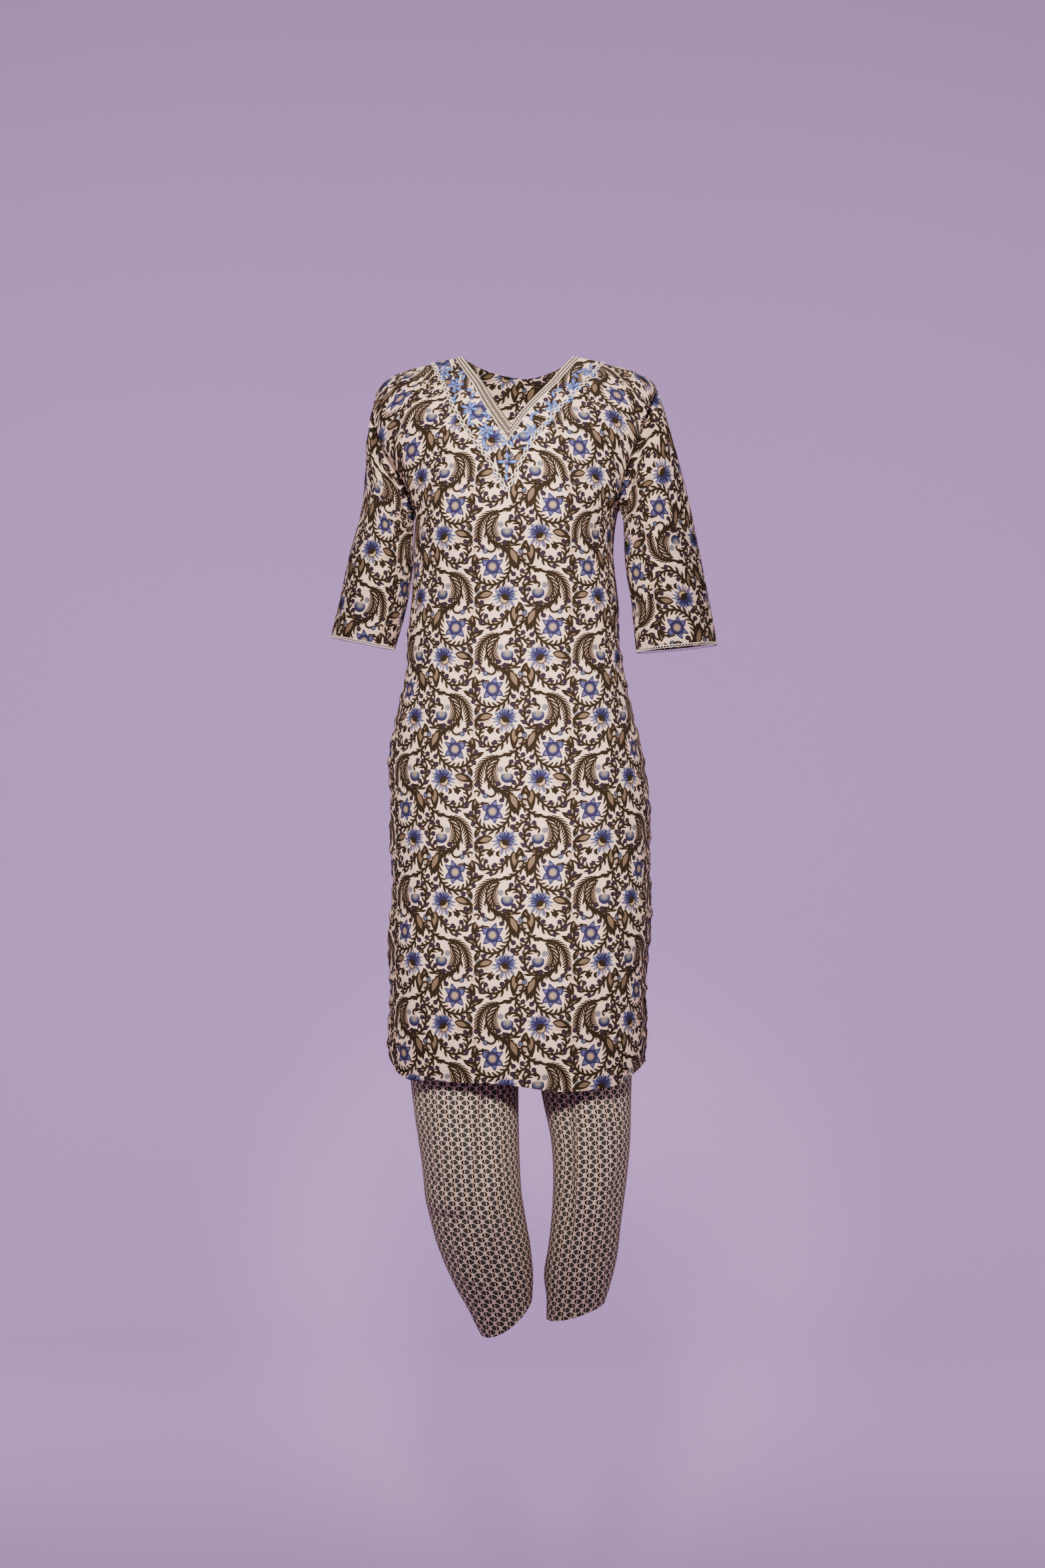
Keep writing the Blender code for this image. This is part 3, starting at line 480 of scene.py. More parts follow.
def unit(vectors):
    return vectors / np.maximum(np.linalg.norm(vectors, axis=-1, keepdims=True), 1e-12)


def runAcross(grid):
    steps = np.linalg.norm(np.diff(grid, axis=1), axis=2)
    return np.concatenate((np.zeros((len(grid), 1)), np.cumsum(steps, axis=1)), axis=1)


def runDown(grid):
    steps = np.linalg.norm(np.diff(grid, axis=0), axis=2)
    return np.concatenate((np.zeros((1, grid.shape[1])), np.cumsum(steps, axis=0)))


def placed(name, data):
    made = bpy.data.objects.new(name, data)
    bpy.context.scene.collection.objects.link(made)
    return made


def panelNormals(grid, face):
    normals = gridNormals(grid, closed=False)
    outward = -1.0 if face == "front" else 1.0
    if normals[mesh["skirtRows"] // 2, grid.shape[1] // 2, 1] * outward < 0:
        normals = -normals
    seam = turned(np.array((0.0, 1.0, 0.0)))
    for row in range(mesh["skirtRows"] + 1):
        for side in (0, -1):
            if grid[row, side, 2] > cut["slitTop"] - 0.02:
                normals[row, side] -= seam * normals[row, side].dot(seam)
    shoulder = np.abs(panelReaches(1.0)) >= cut["neckReach"] - 1e-6
    normals[-1, shoulder] -= seam * (normals[-1, shoulder] @ seam)[:, None]
    return unit(normals)


def clothShell(name, outer, inner, closed, materials, flatMap=None):
    rows, cols = outer.shape[:2]
    index = np.arange(rows * cols).reshape(rows, cols)
    mapCols = cols + 1 if closed else cols
    mapIndex = np.arange(rows * mapCols).reshape(rows, mapCols)
    wrap = np.concatenate((index, index[:, :1]), axis=1) if closed else index
    faces, places = [], []
    for grid, group, step in ((wrap, faces, rows * cols), (mapIndex, places, 0)):
        skin = np.stack((grid[:-1, :-1], grid[:-1, 1:], grid[1:, 1:], grid[1:, :-1]), axis=-1).reshape(-1, 4)
        group += [skin, skin[:, ::-1] + step]
        rims = [(grid[0], True), (grid[-1], False)]
        if not closed:
            rims += [(grid[:, 0], False), (grid[:, -1], True)]
        for rim, backwards in rims:
            near, far = (rim[1:], rim[:-1]) if backwards else (rim[:-1], rim[1:])
            group.append(np.stack((near, far, far + step, near + step), axis=1))
    faces, places = np.concatenate(faces), np.concatenate(places)
    across, along = outer[:-1, 1:] - outer[:-1, :-1], outer[1:, :-1] - outer[:-1, :-1]
    outwards = (np.cross(across, along) * (outer - inner)[:-1, :-1]).sum()
    if outwards < 0:
        faces, places = faces[:, ::-1], places[:, ::-1]
    data = bpy.data.meshes.new(name)
    points = np.concatenate((outer.reshape(-1, 3), inner.reshape(-1, 3)))
    data.from_pydata(points.tolist(), [], faces.tolist())
    if flatMap is not None:
        layer = data.uv_layers.new(name="print")
        layer.data.foreach_set("uv", flatMap.reshape(-1, 2)[places.ravel()].astype(np.float32).ravel())
    data.shade_smooth()
    data.set_sharp_from_angle(angle=math.radians(50))
    for material in materials:
        data.materials.append(material)
    return placed(name, data)


def panelMap(grid):
    # Flat place of each point: along the weft from the upright centre line, and up the warp.
    along, up = runAcross(grid), runDown(grid)
    middle = grid.shape[1] // 2
    across = along - along[:, middle:middle + 1] + grid[:, middle:middle + 1, 0]
    level = mesh["skirtRows"]
    up = up - up[level:level + 1] + grid[level:level + 1, :, 2]
    return np.stack((across, up), axis=2)


panelPieces, trims = {}, {name: [] for name in ("front", "back", "left", "right", "legLeft", "legRight")}


def makePanel(face):
    grid = panelGrid(face)
    normals = panelNormals(grid, face)
    flat = panelMap(grid)
    piece = clothShell("kameez_cloth_" + face, grid, grid - normals * cut["wall"], False, [kameezCloth], flat)
    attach(piece, "root")
    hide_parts("kameez_" + face)
    panelPieces[face] = piece
    return grid, normals


def armholeLoop(side, front, back):
    edge = 0 if side == "left" else -1
    loops = []
    for goingUp, goingDown in zip(front, back):
        up = goingUp[mesh["skirtRows"]:, edge]
        down = goingDown[-2:mesh["skirtRows"]:-1, edge]
        loops.append(np.concatenate((up, down)))
    return loops


def ringPoints(ring, angles, side):
    outward = -1.0 if side == "left" else 1.0
    lean = math.radians(ring["lean"])
    reach = -np.cos(angles) * ring["halfWidth"]
    x = ring["side"] + outward * reach * math.cos(lean)
    y = ring["depth"] - np.sin(angles) * ring["halfDepth"]
    z = ring["height"] + reach * math.sin(lean)
    return turned(np.stack((x, y, z), axis=-1))


def ringBetween(rings, share):
    places = np.linspace(0.0, 1.0, len(rings["side"]))
    return {name: float(smoothCurve(places, rings[name], share)) for name in rings}


tubeCreases = {
    "sleeve_left": {
        "front": (
            (-0.206, -0.205, 70.0, 0.060, 0.0080, -0.0026), (-0.166, -0.226, 48.0, 0.022, 0.0060, -0.0022),
            (-0.186, -0.160, 64.0, 0.034, 0.0070, -0.0030), (-0.196, -0.088, -76.0, 0.040, 0.0070, -0.0024),
            (-0.176, -0.318, 50.0, 0.024, 0.0060, 0.0012), (-0.208, -0.356, 72.0, 0.030, 0.0080, -0.0014),
            (-0.232, -0.300, 80.0, 0.050, 0.0080, -0.0014),
        ),
        "back": (
            (-0.186, -0.222, 35.0, 0.034, 0.0070, -0.0018), (-0.196, -0.252, 20.0, 0.032, 0.0070, 0.0014),
            (-0.204, -0.350, 76.0, 0.034, 0.0080, -0.0016),
        ),
    },
    "sleeve_right": {
        "front": (
            (0.180, -0.146, 30.0, 0.030, 0.0080, -0.0040), (0.190, -0.116, 34.0, 0.030, 0.0130, 0.0030),
            (0.206, -0.200, -62.0, 0.055, 0.0080, -0.0024), (0.180, -0.236, -44.0, 0.026, 0.0060, -0.0020),
            (0.186, -0.330, -66.0, 0.026, 0.0060, 0.0012), (0.212, -0.322, -80.0, 0.040, 0.0080, -0.0014),
            (0.244, -0.300, -82.0, 0.050, 0.0080, -0.0014),
        ),
        "back": (
            (0.196, -0.220, -35.0, 0.034, 0.0070, -0.0018), (0.208, -0.250, -18.0, 0.032, 0.0070, 0.0014),
            (0.214, -0.352, -78.0, 0.034, 0.0080, -0.0016),
        ),
    },
    "leg_left": {
        "front": (
            (-0.100, -1.112, -12.0, 0.036, 0.0070, -0.0018), (-0.070, -1.186, -10.0, 0.034, 0.0070, -0.0022),
            (-0.060, -1.236, -22.0, 0.030, 0.0070, 0.0018), (-0.118, -1.010, 84.0, 0.090, 0.0090, -0.0024),
            (-0.066, -0.980, 88.0, 0.100, 0.0120, 0.0016), (-0.094, -1.156, 1.0, 0.022, 0.0045, -0.0030),
            (-0.048, -1.090, 87.0, 0.100, 0.0090, -0.0028), (-0.066, -1.150, 58.0, 0.040, 0.0080, -0.0020),
            (-0.034, -1.000, 70.0, 0.030, 0.0070, -0.0020), (-0.096, -0.945, -30.0, 0.030, 0.0080, -0.0016),
        ),
        "back": (
            (-0.062, -1.096, 8.0, 0.040, 0.0070, -0.0018), (-0.054, -1.190, -6.0, 0.034, 0.0070, -0.0016),
            (-0.040, -0.990, 86.0, 0.100, 0.0110, -0.0016), (-0.110, -1.000, 84.0, 0.090, 0.0100, 0.0014),
        ),
    },
    "leg_right": {
        "front": (
            (0.104, -1.130, 14.0, 0.034, 0.0070, -0.0018), (0.088, -1.220, 18.0, 0.030, 0.0070, -0.0020),
            (0.138, -1.120, 78.0, 0.070, 0.0080, -0.0024), (0.054, -0.980, 90.0, 0.090, 0.0100, -0.0020),
            (0.092, -0.960, 88.0, 0.100, 0.0120, 0.0016), (0.069, -1.080, 90.0, 0.110, 0.0080, -0.0030),
            (0.112, -1.060, -64.0, 0.040, 0.0070, -0.0018), (0.096, -1.170, 20.0, 0.026, 0.0060, -0.0018),
        ),
        "back": (
            (0.098, -1.086, 6.0, 0.040, 0.0070, -0.0018), (0.092, -1.182, 8.0, 0.034, 0.0070, -0.0016),
            (0.062, -0.990, 92.0, 0.100, 0.0110, -0.0016), (0.128, -1.000, 88.0, 0.090, 0.0100, 0.0014),
        ),
    },
}


def pressFolds(grid, normals, shares, strengths, folds, name):
    facing = np.abs(np.sin(2 * np.pi * shares)) ** 0.5
    both = {}
    for face in ("front", "back"):
        both[face] = foldDepth(folds[face], grid[..., 0], grid[..., 2])
        creases = foldDepth(tubeCreases[name][face], grid[..., 0], grid[..., 2])
        both[face] = both[face] + creaseDepths["tube"] * creases
        both[face] = both[face] + softRipple(grid[..., 0], grid[..., 2], len(name) + len(face))
    front, back = both["front"], both["back"]
    depth = np.where(shares < 0.5, front, back) * facing * strengths[:, None]
    return grid + normals * depth[..., None]


# A tuck beside the armhole seam, where the sleeve falls behind the edge of the body.
armholeTuck = {"depth": 0.0165, "deepest": 0.0085, "end": 0.026, "uneven": 0.25, "rate": 3.0}


def tuckBySeam(grid, normals, shares, depth):
    run = runDown(grid)
    dip = smoothStep(0.0, armholeTuck["deepest"], run)
    dip = dip * (1 - smoothStep(armholeTuck["deepest"], armholeTuck["end"], run))
    facing = np.abs(np.sin(2 * np.pi * shares)) ** 0.6
    uneven = 1 + armholeTuck["uneven"] * np.sin(2 * np.pi * shares * armholeTuck["rate"] + 0.8)
    return grid - normals * (depth * dip * facing * uneven)[..., None]


# The cap leaves the armhole square to it and runs into the first ring: shares of the span, and metres.
sleeveCap = {
    "leaveShare": 0.55, "leaveMore": 0.010, "leaveMost": 0.055, "arriveShare": 0.75, "arriveMore": 0.012,
    "mapTilt": 0.35,
}


def makeSleeve(side, front, back):
    rings = sleeveRings[side]
    loop, loopNormals = armholeLoop(side, front, back)
    count = len(loop)
    shares = np.arange(count) / count
    angles = 2.0 * np.pi * shares
    tangents = np.roll(loop, -1, axis=0) - np.roll(loop, 1, axis=0)
    outward = unit(np.cross(tangents, loopNormals))
    away = -1.0 if side == "left" else 1.0
    if outward[count // 4, 0] * away < 0:
        outward = -outward
    start = loop + outward * cut["armholeGap"]
    first = ringPoints(ringBetween(rings, 0.0), angles, side)
    soon = ringPoints(ringBetween(rings, 0.05), angles, side)
    heading = unit(soon - first)
    span = np.linalg.norm(first - start, axis=1, keepdims=True)
    leaving = span * sleeveCap["leaveShare"] + sleeveCap["leaveMore"]
    leave = outward * np.minimum(leaving, sleeveCap["leaveMost"])
    arrive = heading * (span * sleeveCap["arriveShare"] + sleeveCap["arriveMore"])
    capRows, sleeveRows = mesh["capRows"], mesh["sleeveRows"]
    cap = [hermite(step / capRows, start, first, leave, arrive) for step in range(capRows)]
    rest = [ringPoints(ringBetween(rings, step / sleeveRows), angles, side) for step in range(sleeveRows + 1)]
    grid = np.array(cap + rest)
    normals = gridNormals(grid, closed=True)
    sense = -1.0 if normals[-2, count // 4, 1] > 0 else 1.0
    strengths = smoothStep(0.0, capRows * 5 / 6, np.arange(len(grid), dtype=float))
    grid = tuckBySeam(grid, normals * sense, shares, armholeTuck["depth"])
    grid = pressFolds(grid, normals * sense, shares, strengths, sleeveFolds[side], "sleeve_" + side)
    normals = gridNormals(grid, closed=True) * sense
    normals[0] = loopNormals
    girth = runAcross(np.concatenate((grid, grid[:, :1]), axis=1))[:, -1:]
    down = runDown(grid)
    middle = down.mean(axis=1, keepdims=True)
    down = middle + (down - middle) * sleeveCap["mapTilt"]
    return grid, normals, shares, girth, down


def sleevePiece(side, front, back):
    grid, normals, shares, girth, down = makeSleeve(side, front, back)
    # The map starts next to the body, so its join lies out of sight.
    around = np.append(shares, 1.0)[None, :] * girth.mean() + np.zeros((len(grid), 1))
    up = np.concatenate((down, down[:, :1]), axis=1)
    up = up[-1:] - up
    across, rise, acrossSense, upSense = sleeveMaps[side]
    flat = np.stack((around * acrossSense + across, up * upSense + rise), axis=2)
    inner = grid - normals * cut["wall"]
    piece = clothShell("sleeve_cloth_" + side, grid, inner, True, [kameezCloth], flat)
    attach(piece, "root")
    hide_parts("sleeve_" + side)
    panelPieces[side] = piece
    return grid, normals


def stripPoint(across, along, sign):
    innerReach = sign * cut["neckReach"] * (1.0 - along) + cut["neckShift"] * along
    outerReach = sign * cut["yokeReach"] * (1.0 - along)
    innerClimb, outerClimb = neckClimb(innerReach, "front"), yokeClimb(outerReach)
    reach = innerReach + (outerReach - innerReach) * across
    climb = innerClimb + (outerClimb - innerClimb) * across
    return turned(chestPoint(reach, climb, "front"))


def stripNormal(across, along, sign):
    small = 1e-4
    run = stripPoint(across, along + small, sign) - stripPoint(across, along - small, sign)
    side = stripPoint(across + small, along, sign) - stripPoint(across - small, along, sign)
    normal = unit(np.cross(run, side))
    facesOut = (normal[..., 1] < 0) | ((np.abs(normal[..., 1]) < 0.3) & (normal[..., 2] > 0))
    return np.where(facesOut[..., None], normal, -normal)


# Yoke: what lies on the front is placed by where it is seen from the front, and stands on the panel.
# The depth of the panel there is found in a few passes.
yokeSearch = {"startDepth": -0.12, "passes": 8}


def onFront(side, height, lift=0.0):
    side, height = np.asarray(side, float), np.asarray(height, float)
    c, s = math.cos(cut["turn"]), math.sin(cut["turn"])

    def find(side, height):
        depth = np.full(np.shape(side), yokeSearch["startDepth"])
        for _ in range(yokeSearch["passes"]):
            across = (side + depth * s) / c
            left, right = bodySize("left", height), bodySize("right", height)
            reach = 2 * (across - left) / (right - left) - 1
            ridgeTop = ridgeHeight(reach)
            climb = (height - cut["underarm"]) / (ridgeTop - cut["underarm"])
            point = np.where(
                (climb > 0)[..., None],
                chestPoint(reach, np.clip(climb, 0, 0.999), "front"),
                bodyPoint(reach, np.minimum(height, cut["underarm"]), "front"),
            )
            depth = point[..., 1]
        return turned(point)

    small = 1e-3
    point = find(side, height)
    over = find(side + small, height) - find(side - small, height)
    up = find(side, height + small) - find(side, height - small)
    normal = unit(np.cross(over, up))
    return point + normal * lift, normal


bandMap = (0.0183, -0.0456)   # how far the yoke's print lies off the front's


# Strips run from the shoulder to the point; their rows crowd to the shoulder.
stripRun = {"first": 0.0006, "span": 0.9988, "crowding": 1.35, "last": 0.9985, "underside": 0.00015}
# Where they start and end across the yoke, their thickness, columns, node and slot.
strips = {
    "binding": (0.000, 0.199, 0.0010, 14, "neck_binding_", "kameez_cloth"),
    "band": (0.244, 0.894, 0.0006, 30, "yoke_band_", "yoke_cloth"),
}


def stripPiece(name, side, material):
    start, end, wall, count, node, slot = strips[name]
    sign = -1.0 if side == "left" else 1.0
    shares = np.linspace(0.0, 1.0, mesh["stripRows"]) ** stripRun["crowding"]
    alongs = stripRun["first"] + stripRun["span"] * shares
    acrosses = np.linspace(start, end, count)
    across, along = np.meshgrid(acrosses, alongs)
    grid = stripPoint(across, along, sign)
    normals = stripNormal(across, along, sign)
    base = grid + normals * stripRun["underside"]
    top = grid + normals * (cut["trimLift"] + wall)
    flat = np.stack((grid[..., 0] + bandMap[0], grid[..., 2] + bandMap[1]), axis=2)
    piece = clothShell(name + "_" + side, top, base, False, [material], flat)
    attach(piece, "root")
    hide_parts(node + side)
    return piece


def alongYoke(side, across, rows=500):
    sign = -1.0 if side == "left" else 1.0
    along = np.linspace(stripRun["first"], stripRun["last"], rows)
    points = stripPoint(across, along, sign)
    normals = stripNormal(across, along, sign)
    heading = unit(np.gradient(points, axis=0))
    sideways = unit(np.cross(normals, heading))
    run = np.concatenate(([0.0], np.cumsum(np.linalg.norm(np.diff(points, axis=0), axis=1))))
    return points, normals, heading, sideways, run


# Two rows of small pale beads on each binding.
beads = {"rows": (0.045, 0.142), "pitch": 0.0036, "size": 0.0027, "height": 0.0013, "lift": 0.0012}


def makeBeads():
    places, headings, facings = [], [], []
    for side in ("left", "right"):
        for across in beads["rows"]:
            points, normals, heading, _, run = alongYoke(side, across, 400)
            stops = np.arange(beads["pitch"] / 2, run[-1], beads["pitch"])
            nearest = np.searchsorted(run, stops)
            places += list(points[nearest] + normals[nearest] * beads["lift"])
            headings += list(heading[nearest])
            facings += list(normals[nearest])
    motif = domeMotif("bead", beads["size"], beads["size"], beads["height"], 8, 3)
    piece = layStitches("binding_beads", places, headings, facings, motif, whiteLace, 1.0, 0.06, 7)
    finishTrim(piece, "white_lace")
    return piece


piping = {"across": 0.2215, "radius": 0.00070, "lift": 0.0012}


def makePiping(side):
    points, normals, _, _, _ = alongYoke(side, piping["across"], 160)
    piece = layThreads("piping_" + side, [points + normals * piping["lift"]], piping["radius"], whiteLace, 10)
    finishTrim(piece, "white_lace", "neck_piping_" + side)


# Two strands that cross over and under each other, with lens-shaped holes between them. A dark cord along the
# middle is painted shade: it stands in for the shadow and the dark print seen through the holes.
braid = {
    "across": 0.948, "pitch": 0.0094, "reach": 0.0022, "radius": 0.00080, "lift": 0.0016, "weave": 0.0004,
    "core": 0.0017, "shadeCordLift": 0.0,
}


def makeBraid(side):
    points, normals, _, sideways, run = alongYoke(side, braid["across"], 900)
    turn = 2 * np.pi * run / (2 * braid["pitch"])
    strands = []
    for phase in (0.0, np.pi):
        sway = braid["reach"] * np.sin(turn + phase)
        rise = braid["lift"] + braid["weave"] * np.cos(turn + phase / 2 + 1.0)
        strands.append(points + sideways * sway[:, None] + normals * rise[:, None])
    piece = layThreads("braid_" + side, strands, braid["radius"], whiteLace, 6)
    finishTrim(piece, "white_lace", "yoke_lace_" + side)
    # Painted shade: a dark cord under the strands darkens the holes between them, where shadow and the dark
    # print show.
    middle = points + normals * braid["shadeCordLift"]
    core = layThreads("braid_core_" + side, [middle], braid["core"], darkThread, 8)
    finishTrim(core, "white_lace")


def finishTrim(piece, slot, *nodes, on="front"):
    trims[on].append(piece)
    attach(piece, "root")
    if nodes:
        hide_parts(*nodes)


# Embroidery, charted in millimetres right of and above the point of the neck.
chart = {
    "point": (-0.0103, -0.1079), "size": 0.97, "link": 0.0019, "petalLength": 0.0097, "petalWidth": 0.0039,
    "leafLength": 0.0094, "leafWidth": 0.0038, "lift": 0.0022,
    "padDrop": 0.0007, "padRise": 0.0007, "outlineDrop": 0.0004, "heart": 0.0014, "knot": 0.0015,
    "linkWidth": 0.0009, "linkThread": 0.00022,
}
mitreStitch = {"across": -0.0006, "top": -0.0215, "bottom": -0.0345, "drop": 0.0006, "radius": 0.0004}
flowersAt = (   # across, up, turn in degrees, petals
    (-87.0, 84.5, 20, 5), (-71.7, 61.5, 70, 6), (-51.5, 26.3, 40, 6), (-29.0, -6.8, 95, 6),
    (113.0, 82.0, 10, 5), (89.6, 57.8, 35, 6), (61.0, 27.0, 80, 6), (31.0, -8.3, 60, 6),
)
leavesAt = (   # across, up, heading in degrees, size
    (-90.5, 72.8, 170, 1.0), (-65.0, 80.5, 50, 1.0), (-61.0, 74.0, 75, 0.9), (-52.2, 53.3, -10, 1.0),
    (-47.0, 45.8, 62, 1.0), (-73.2, 42.3, 58, 1.0), (-74.7, 37.0, -8, 1.0), (-31.2, 18.0, -12, 1.0),
    (-26.0, 11.8, 60, 1.0), (-52.2, 10.4, 72, 1.0), (-50.0, 3.6, -14, 1.0), (-28.2, -31.2, -12, 1.0),
    (-31.6, -24.6, 100, 1.0), (92.6, 74.8, -42, 1.0), (98.6, 81.0, 12, 1.0), (68.6, 52.4, 12, 1.0),
    (61.8, 45.8, 98, 1.0), (86.6, 41.2, 104, 1.0), (81.0, 35.2, 2, 1.0), (37.0, 17.6, 16, 1.0),
    (31.6, 11.6, 84, 1.0), (58.6, 10.4, 112, 1.0), (52.2, 2.9, 6, 1.0), (29.6, -24.2, 112, 1.0),
    (24.8, -31.8, 4, 1.0), (-8.2, -16.6, 152, 1.3), (10.2, -16.6, 26, 1.3), (-4.6, -25.2, 238, 0.95),
    (4.8, -25.2, 302, 0.95), (-0.9, -42.8, 90, 1.45), (-8.2, -50.3, 180, 1.3), (7.4, -50.3, 0, 1.4),
    (-1.2, -58.6, 270, 1.5), (-1.6, -72.0, 270, 1.0),
)


def leafLoop(across, up, heading, length, width):
    turn = np.linspace(0, 2 * np.pi, 33)
    along = np.cos(turn) * length / 2
    side = np.sin(turn) * np.abs(np.sin(turn)) ** 0.25 * width / 2
    c, s = math.cos(math.radians(heading)), math.sin(math.radians(heading))
    return across + along * c - side * s, up + along * s + side * c


def toYoke(across, up, lift):
    size = chart["size"]
    return onFront(chart["point"][0] + across * size, chart["point"][1] + up * size, lift)


def makeEmbroidery():
    leaves = [(across / 1000, up / 1000, heading, chart["leafLength"] * size, chart["leafWidth"])
              for across, up, heading, size in leavesAt]
    knots = []
    for across, up, start, petals in flowersAt:
        for turn in range(0, 360, 72):
            c, s = math.cos(math.radians(turn)), math.sin(math.radians(turn))
            knots.append((across / 1000 + c * chart["heart"], up / 1000 + s * chart["heart"]))
        for petal in range(petals):
            heading = start + 360 * petal / petals + 7 * math.sin(petal * 2.3 + start)
            reach = chart["petalLength"] * (0.70 + 0.06 * math.cos(petal * 1.9 + start))
            c, s = math.cos(math.radians(heading)), math.sin(math.radians(heading))
            middle = (across / 1000 + c * reach, up / 1000 + s * reach)
            leaves.append((*middle, heading, chart["petalLength"], chart["petalWidth"]))
    table = np.array(leaves)
    turn = np.radians(table[:, 2])
    lift = chart["lift"]
    padLift = lift - chart["padDrop"]
    pads, padNormals = toYoke(table[:, 0], table[:, 1], padLift)
    tips, _ = toYoke(table[:, 0] + np.cos(turn) * 0.001, table[:, 1] + np.sin(turn) * 0.001, padLift)
    loops = [leafLoop(*row) for row in leaves]
    loopAcross, loopUp = np.array([loop[0] for loop in loops]), np.array([loop[1] for loop in loops])
    paths, pathNormals = toYoke(loopAcross, loopUp, lift - chart["outlineDrop"])
    links, linkHeadings, linkNormals = [], [], []
    for path, normals in zip(paths, pathNormals):
        points, headings = evenly(path, chart["link"])
        links += list(points)
        linkHeadings += list(headings)
        linkNormals += [normals[0]] * len(points)
    padLength, padWidth = chart["petalLength"] * 0.94, chart["petalWidth"] * 0.92
    padMotif = domeMotif("satin_pad", padLength, padWidth, chart["padRise"], 12, 3)
    linkMotif = ringMotif("chain_link", chart["link"] * 1.15, chart["linkWidth"], chart["linkThread"])
    knotPoints, knotNormals = toYoke(*np.array(knots).T, lift)
    knotMotif = domeMotif("knot", chart["knot"], chart["knot"], chart["padRise"], 8, 3)
    knotHeadings = [(1.0, 0.0, 0.0)] * len(knotPoints)
    for name, places, headings, facings, motif, thread, uneven, seed in (
        ("petals", pads, unit(tips - pads), padNormals, padMotif, paleBlueThread, 0.05, 3),
        ("outlines", links, linkHeadings, linkNormals, linkMotif, blueThread, 0.08, 4),
        ("knots", knotPoints, knotHeadings, knotNormals, knotMotif, lilacThread, 0.1, 5),
    ):
        piece = layStitches("embroidery_" + name, places, headings, facings, motif, thread, 1.0, uneven, seed)
        finishTrim(piece, "yoke_cloth")
    # Short white line of stitches down the middle, below the point of the neck.
    heights = np.linspace(mitreStitch["top"], mitreStitch["bottom"], 60)
    path, normals = toYoke(np.full(60, mitreStitch["across"]), heights, lift - mitreStitch["drop"])
    mitre = layThreads("mitre_stitch", [path], mitreStitch["radius"], whiteLace, 6)
    finishTrim(mitre, "white_lace")


# Rows of machine stitches: pitch, length and width of one stitch, and its rise.
stitching = {"pitch": 0.0030, "length": 0.0023, "width": 0.00045, "rise": 0.0002, "lift": 0.0001}
ventColumns = 2
edgeRows = 60   # rows searched for a line near an edge


def edgeLine(grid, normals, distance, closed=False):
    # Points at a set distance from the first row, column by column.
    near, facings = grid[:edgeRows], normals[:edgeRows]
    run = runDown(near)
    line, facing = [], []
    for column in range(grid.shape[1]):
        line.append([np.interp(distance, run[:, column], near[:, column, axis]) for axis in range(3)])
        facing.append([np.interp(distance, run[:, column], facings[:, column, axis]) for axis in range(3)])
    if closed:
        line, facing = line + line[:1], facing + facing[:1]
    return np.array(line), unit(np.array(facing))


def ventLine(grid, normals, column):
    rows = grid[:, column, 2] < cut["slitTop"]
    return grid[rows, column], unit(normals[rows, column])


def stitchRow(name, line, material, on):
    path, facings = line
    points, headings = evenly(path, stitching["pitch"])
    nearest = np.linalg.norm(path[None] - points[:, None], axis=2).argmin(axis=1)
    points = points + facings[nearest] * stitching["lift"]
    motif = domeMotif(name + "_motif", stitching["length"], stitching["width"], stitching["rise"], 6, 2)
    piece = layStitches(name, points, headings, facings[nearest], motif, material, 1.0, 0.05, 8)
    finishTrim(piece, "salwar_cloth" if on.startswith("leg") else "kameez_cloth", on=on)


# Narrow lace at the sleeve hems: a header cord, and loops that hang from it.
sleeveLace = {
    "pitch": 0.0041, "drop": 0.0019, "loopLength": 0.0040, "loopWidth": 0.0036, "thread": 0.00042,
    "inset": 0.0004, "headerDrop": 0.0004, "header": 0.0006,
}


def makeSleeveLace(side, grid, normals):
    edge = np.concatenate((grid[-1], grid[-1][:1]))
    edgeNormals = np.concatenate((normals[-1], normals[-1][:1]))
    down = unit(grid[-1] - grid[-2])
    down = np.concatenate((down, down[:1]))
    middle = edge - edgeNormals * sleeveLace["inset"]
    path = middle + down * sleeveLace["headerDrop"]
    header = layThreads("lace_header_" + side, [path], sleeveLace["header"], whiteLace, 8)
    finishTrim(header, "white_lace", on=side)
    points, headings = evenly(middle + down * sleeveLace["drop"], sleeveLace["pitch"])
    nearest = [int(np.argmin(np.linalg.norm(grid[-1] - point, axis=1))) for point in points]
    facings = [normals[-1][index] for index in nearest]
    length, width, thread = (sleeveLace[name] for name in ("loopLength", "loopWidth", "thread"))
    loop = ringMotif("lace_loop_" + side, length, width, thread, 14, 6)
    piece = layStitches("lace_loops_" + side, points, headings, facings, loop, whiteLace, 1.0, 0.03, 6)
    finishTrim(piece, "white_lace", "sleeve_lace_" + side, on=side)


def hipPoint(share, height, sign, inset):
    reach = sign * np.maximum(np.sin(np.pi * share), 0.0) ** (2 / cut["sectionPower"])
    front = bodyPoint(reach, height, "front", inset)
    back = bodyPoint(reach, height, "back", inset)
    points = np.where((share <= 0.5)[:, None], front, back)
    centre = waist["drift"] * smoothStep(waist["seam"], waist["crotch"], height)
    ends = (share == 0.0) | (share == 1.0)
    points[ends, 0] = sign * cut["seamGap"] / 2 + centre
    return turned(points)


def legPoint(share, height, table, sign, cuff, lowered):
    angle = 2.0 * np.pi * share
    inner, outer = (float(smoothCurve(table["height"], table[name], height)) for name in ("inner", "outer"))
    front, back = (float(smoothCurve(table["height"], table[name], height)) for name in ("front", "back"))
    middle, half = (inner + outer) / 2, abs(outer - inner) / 2
    x = middle - sign * half * np.cos(angle)
    y = -np.sin(angle) * np.where(share <= 0.5, front, back)
    ends = np.where(share == 1.0, 1.0, 0.0) - np.where(share == 0.0, 1.0, 0.0)
    y = y + ends * cut["seamGap"] / 2
    z = height + lowered * (cuff[0] * (x - middle) - cuff[1] * np.sin(angle))
    return np.stack((x, y, z), axis=-1)


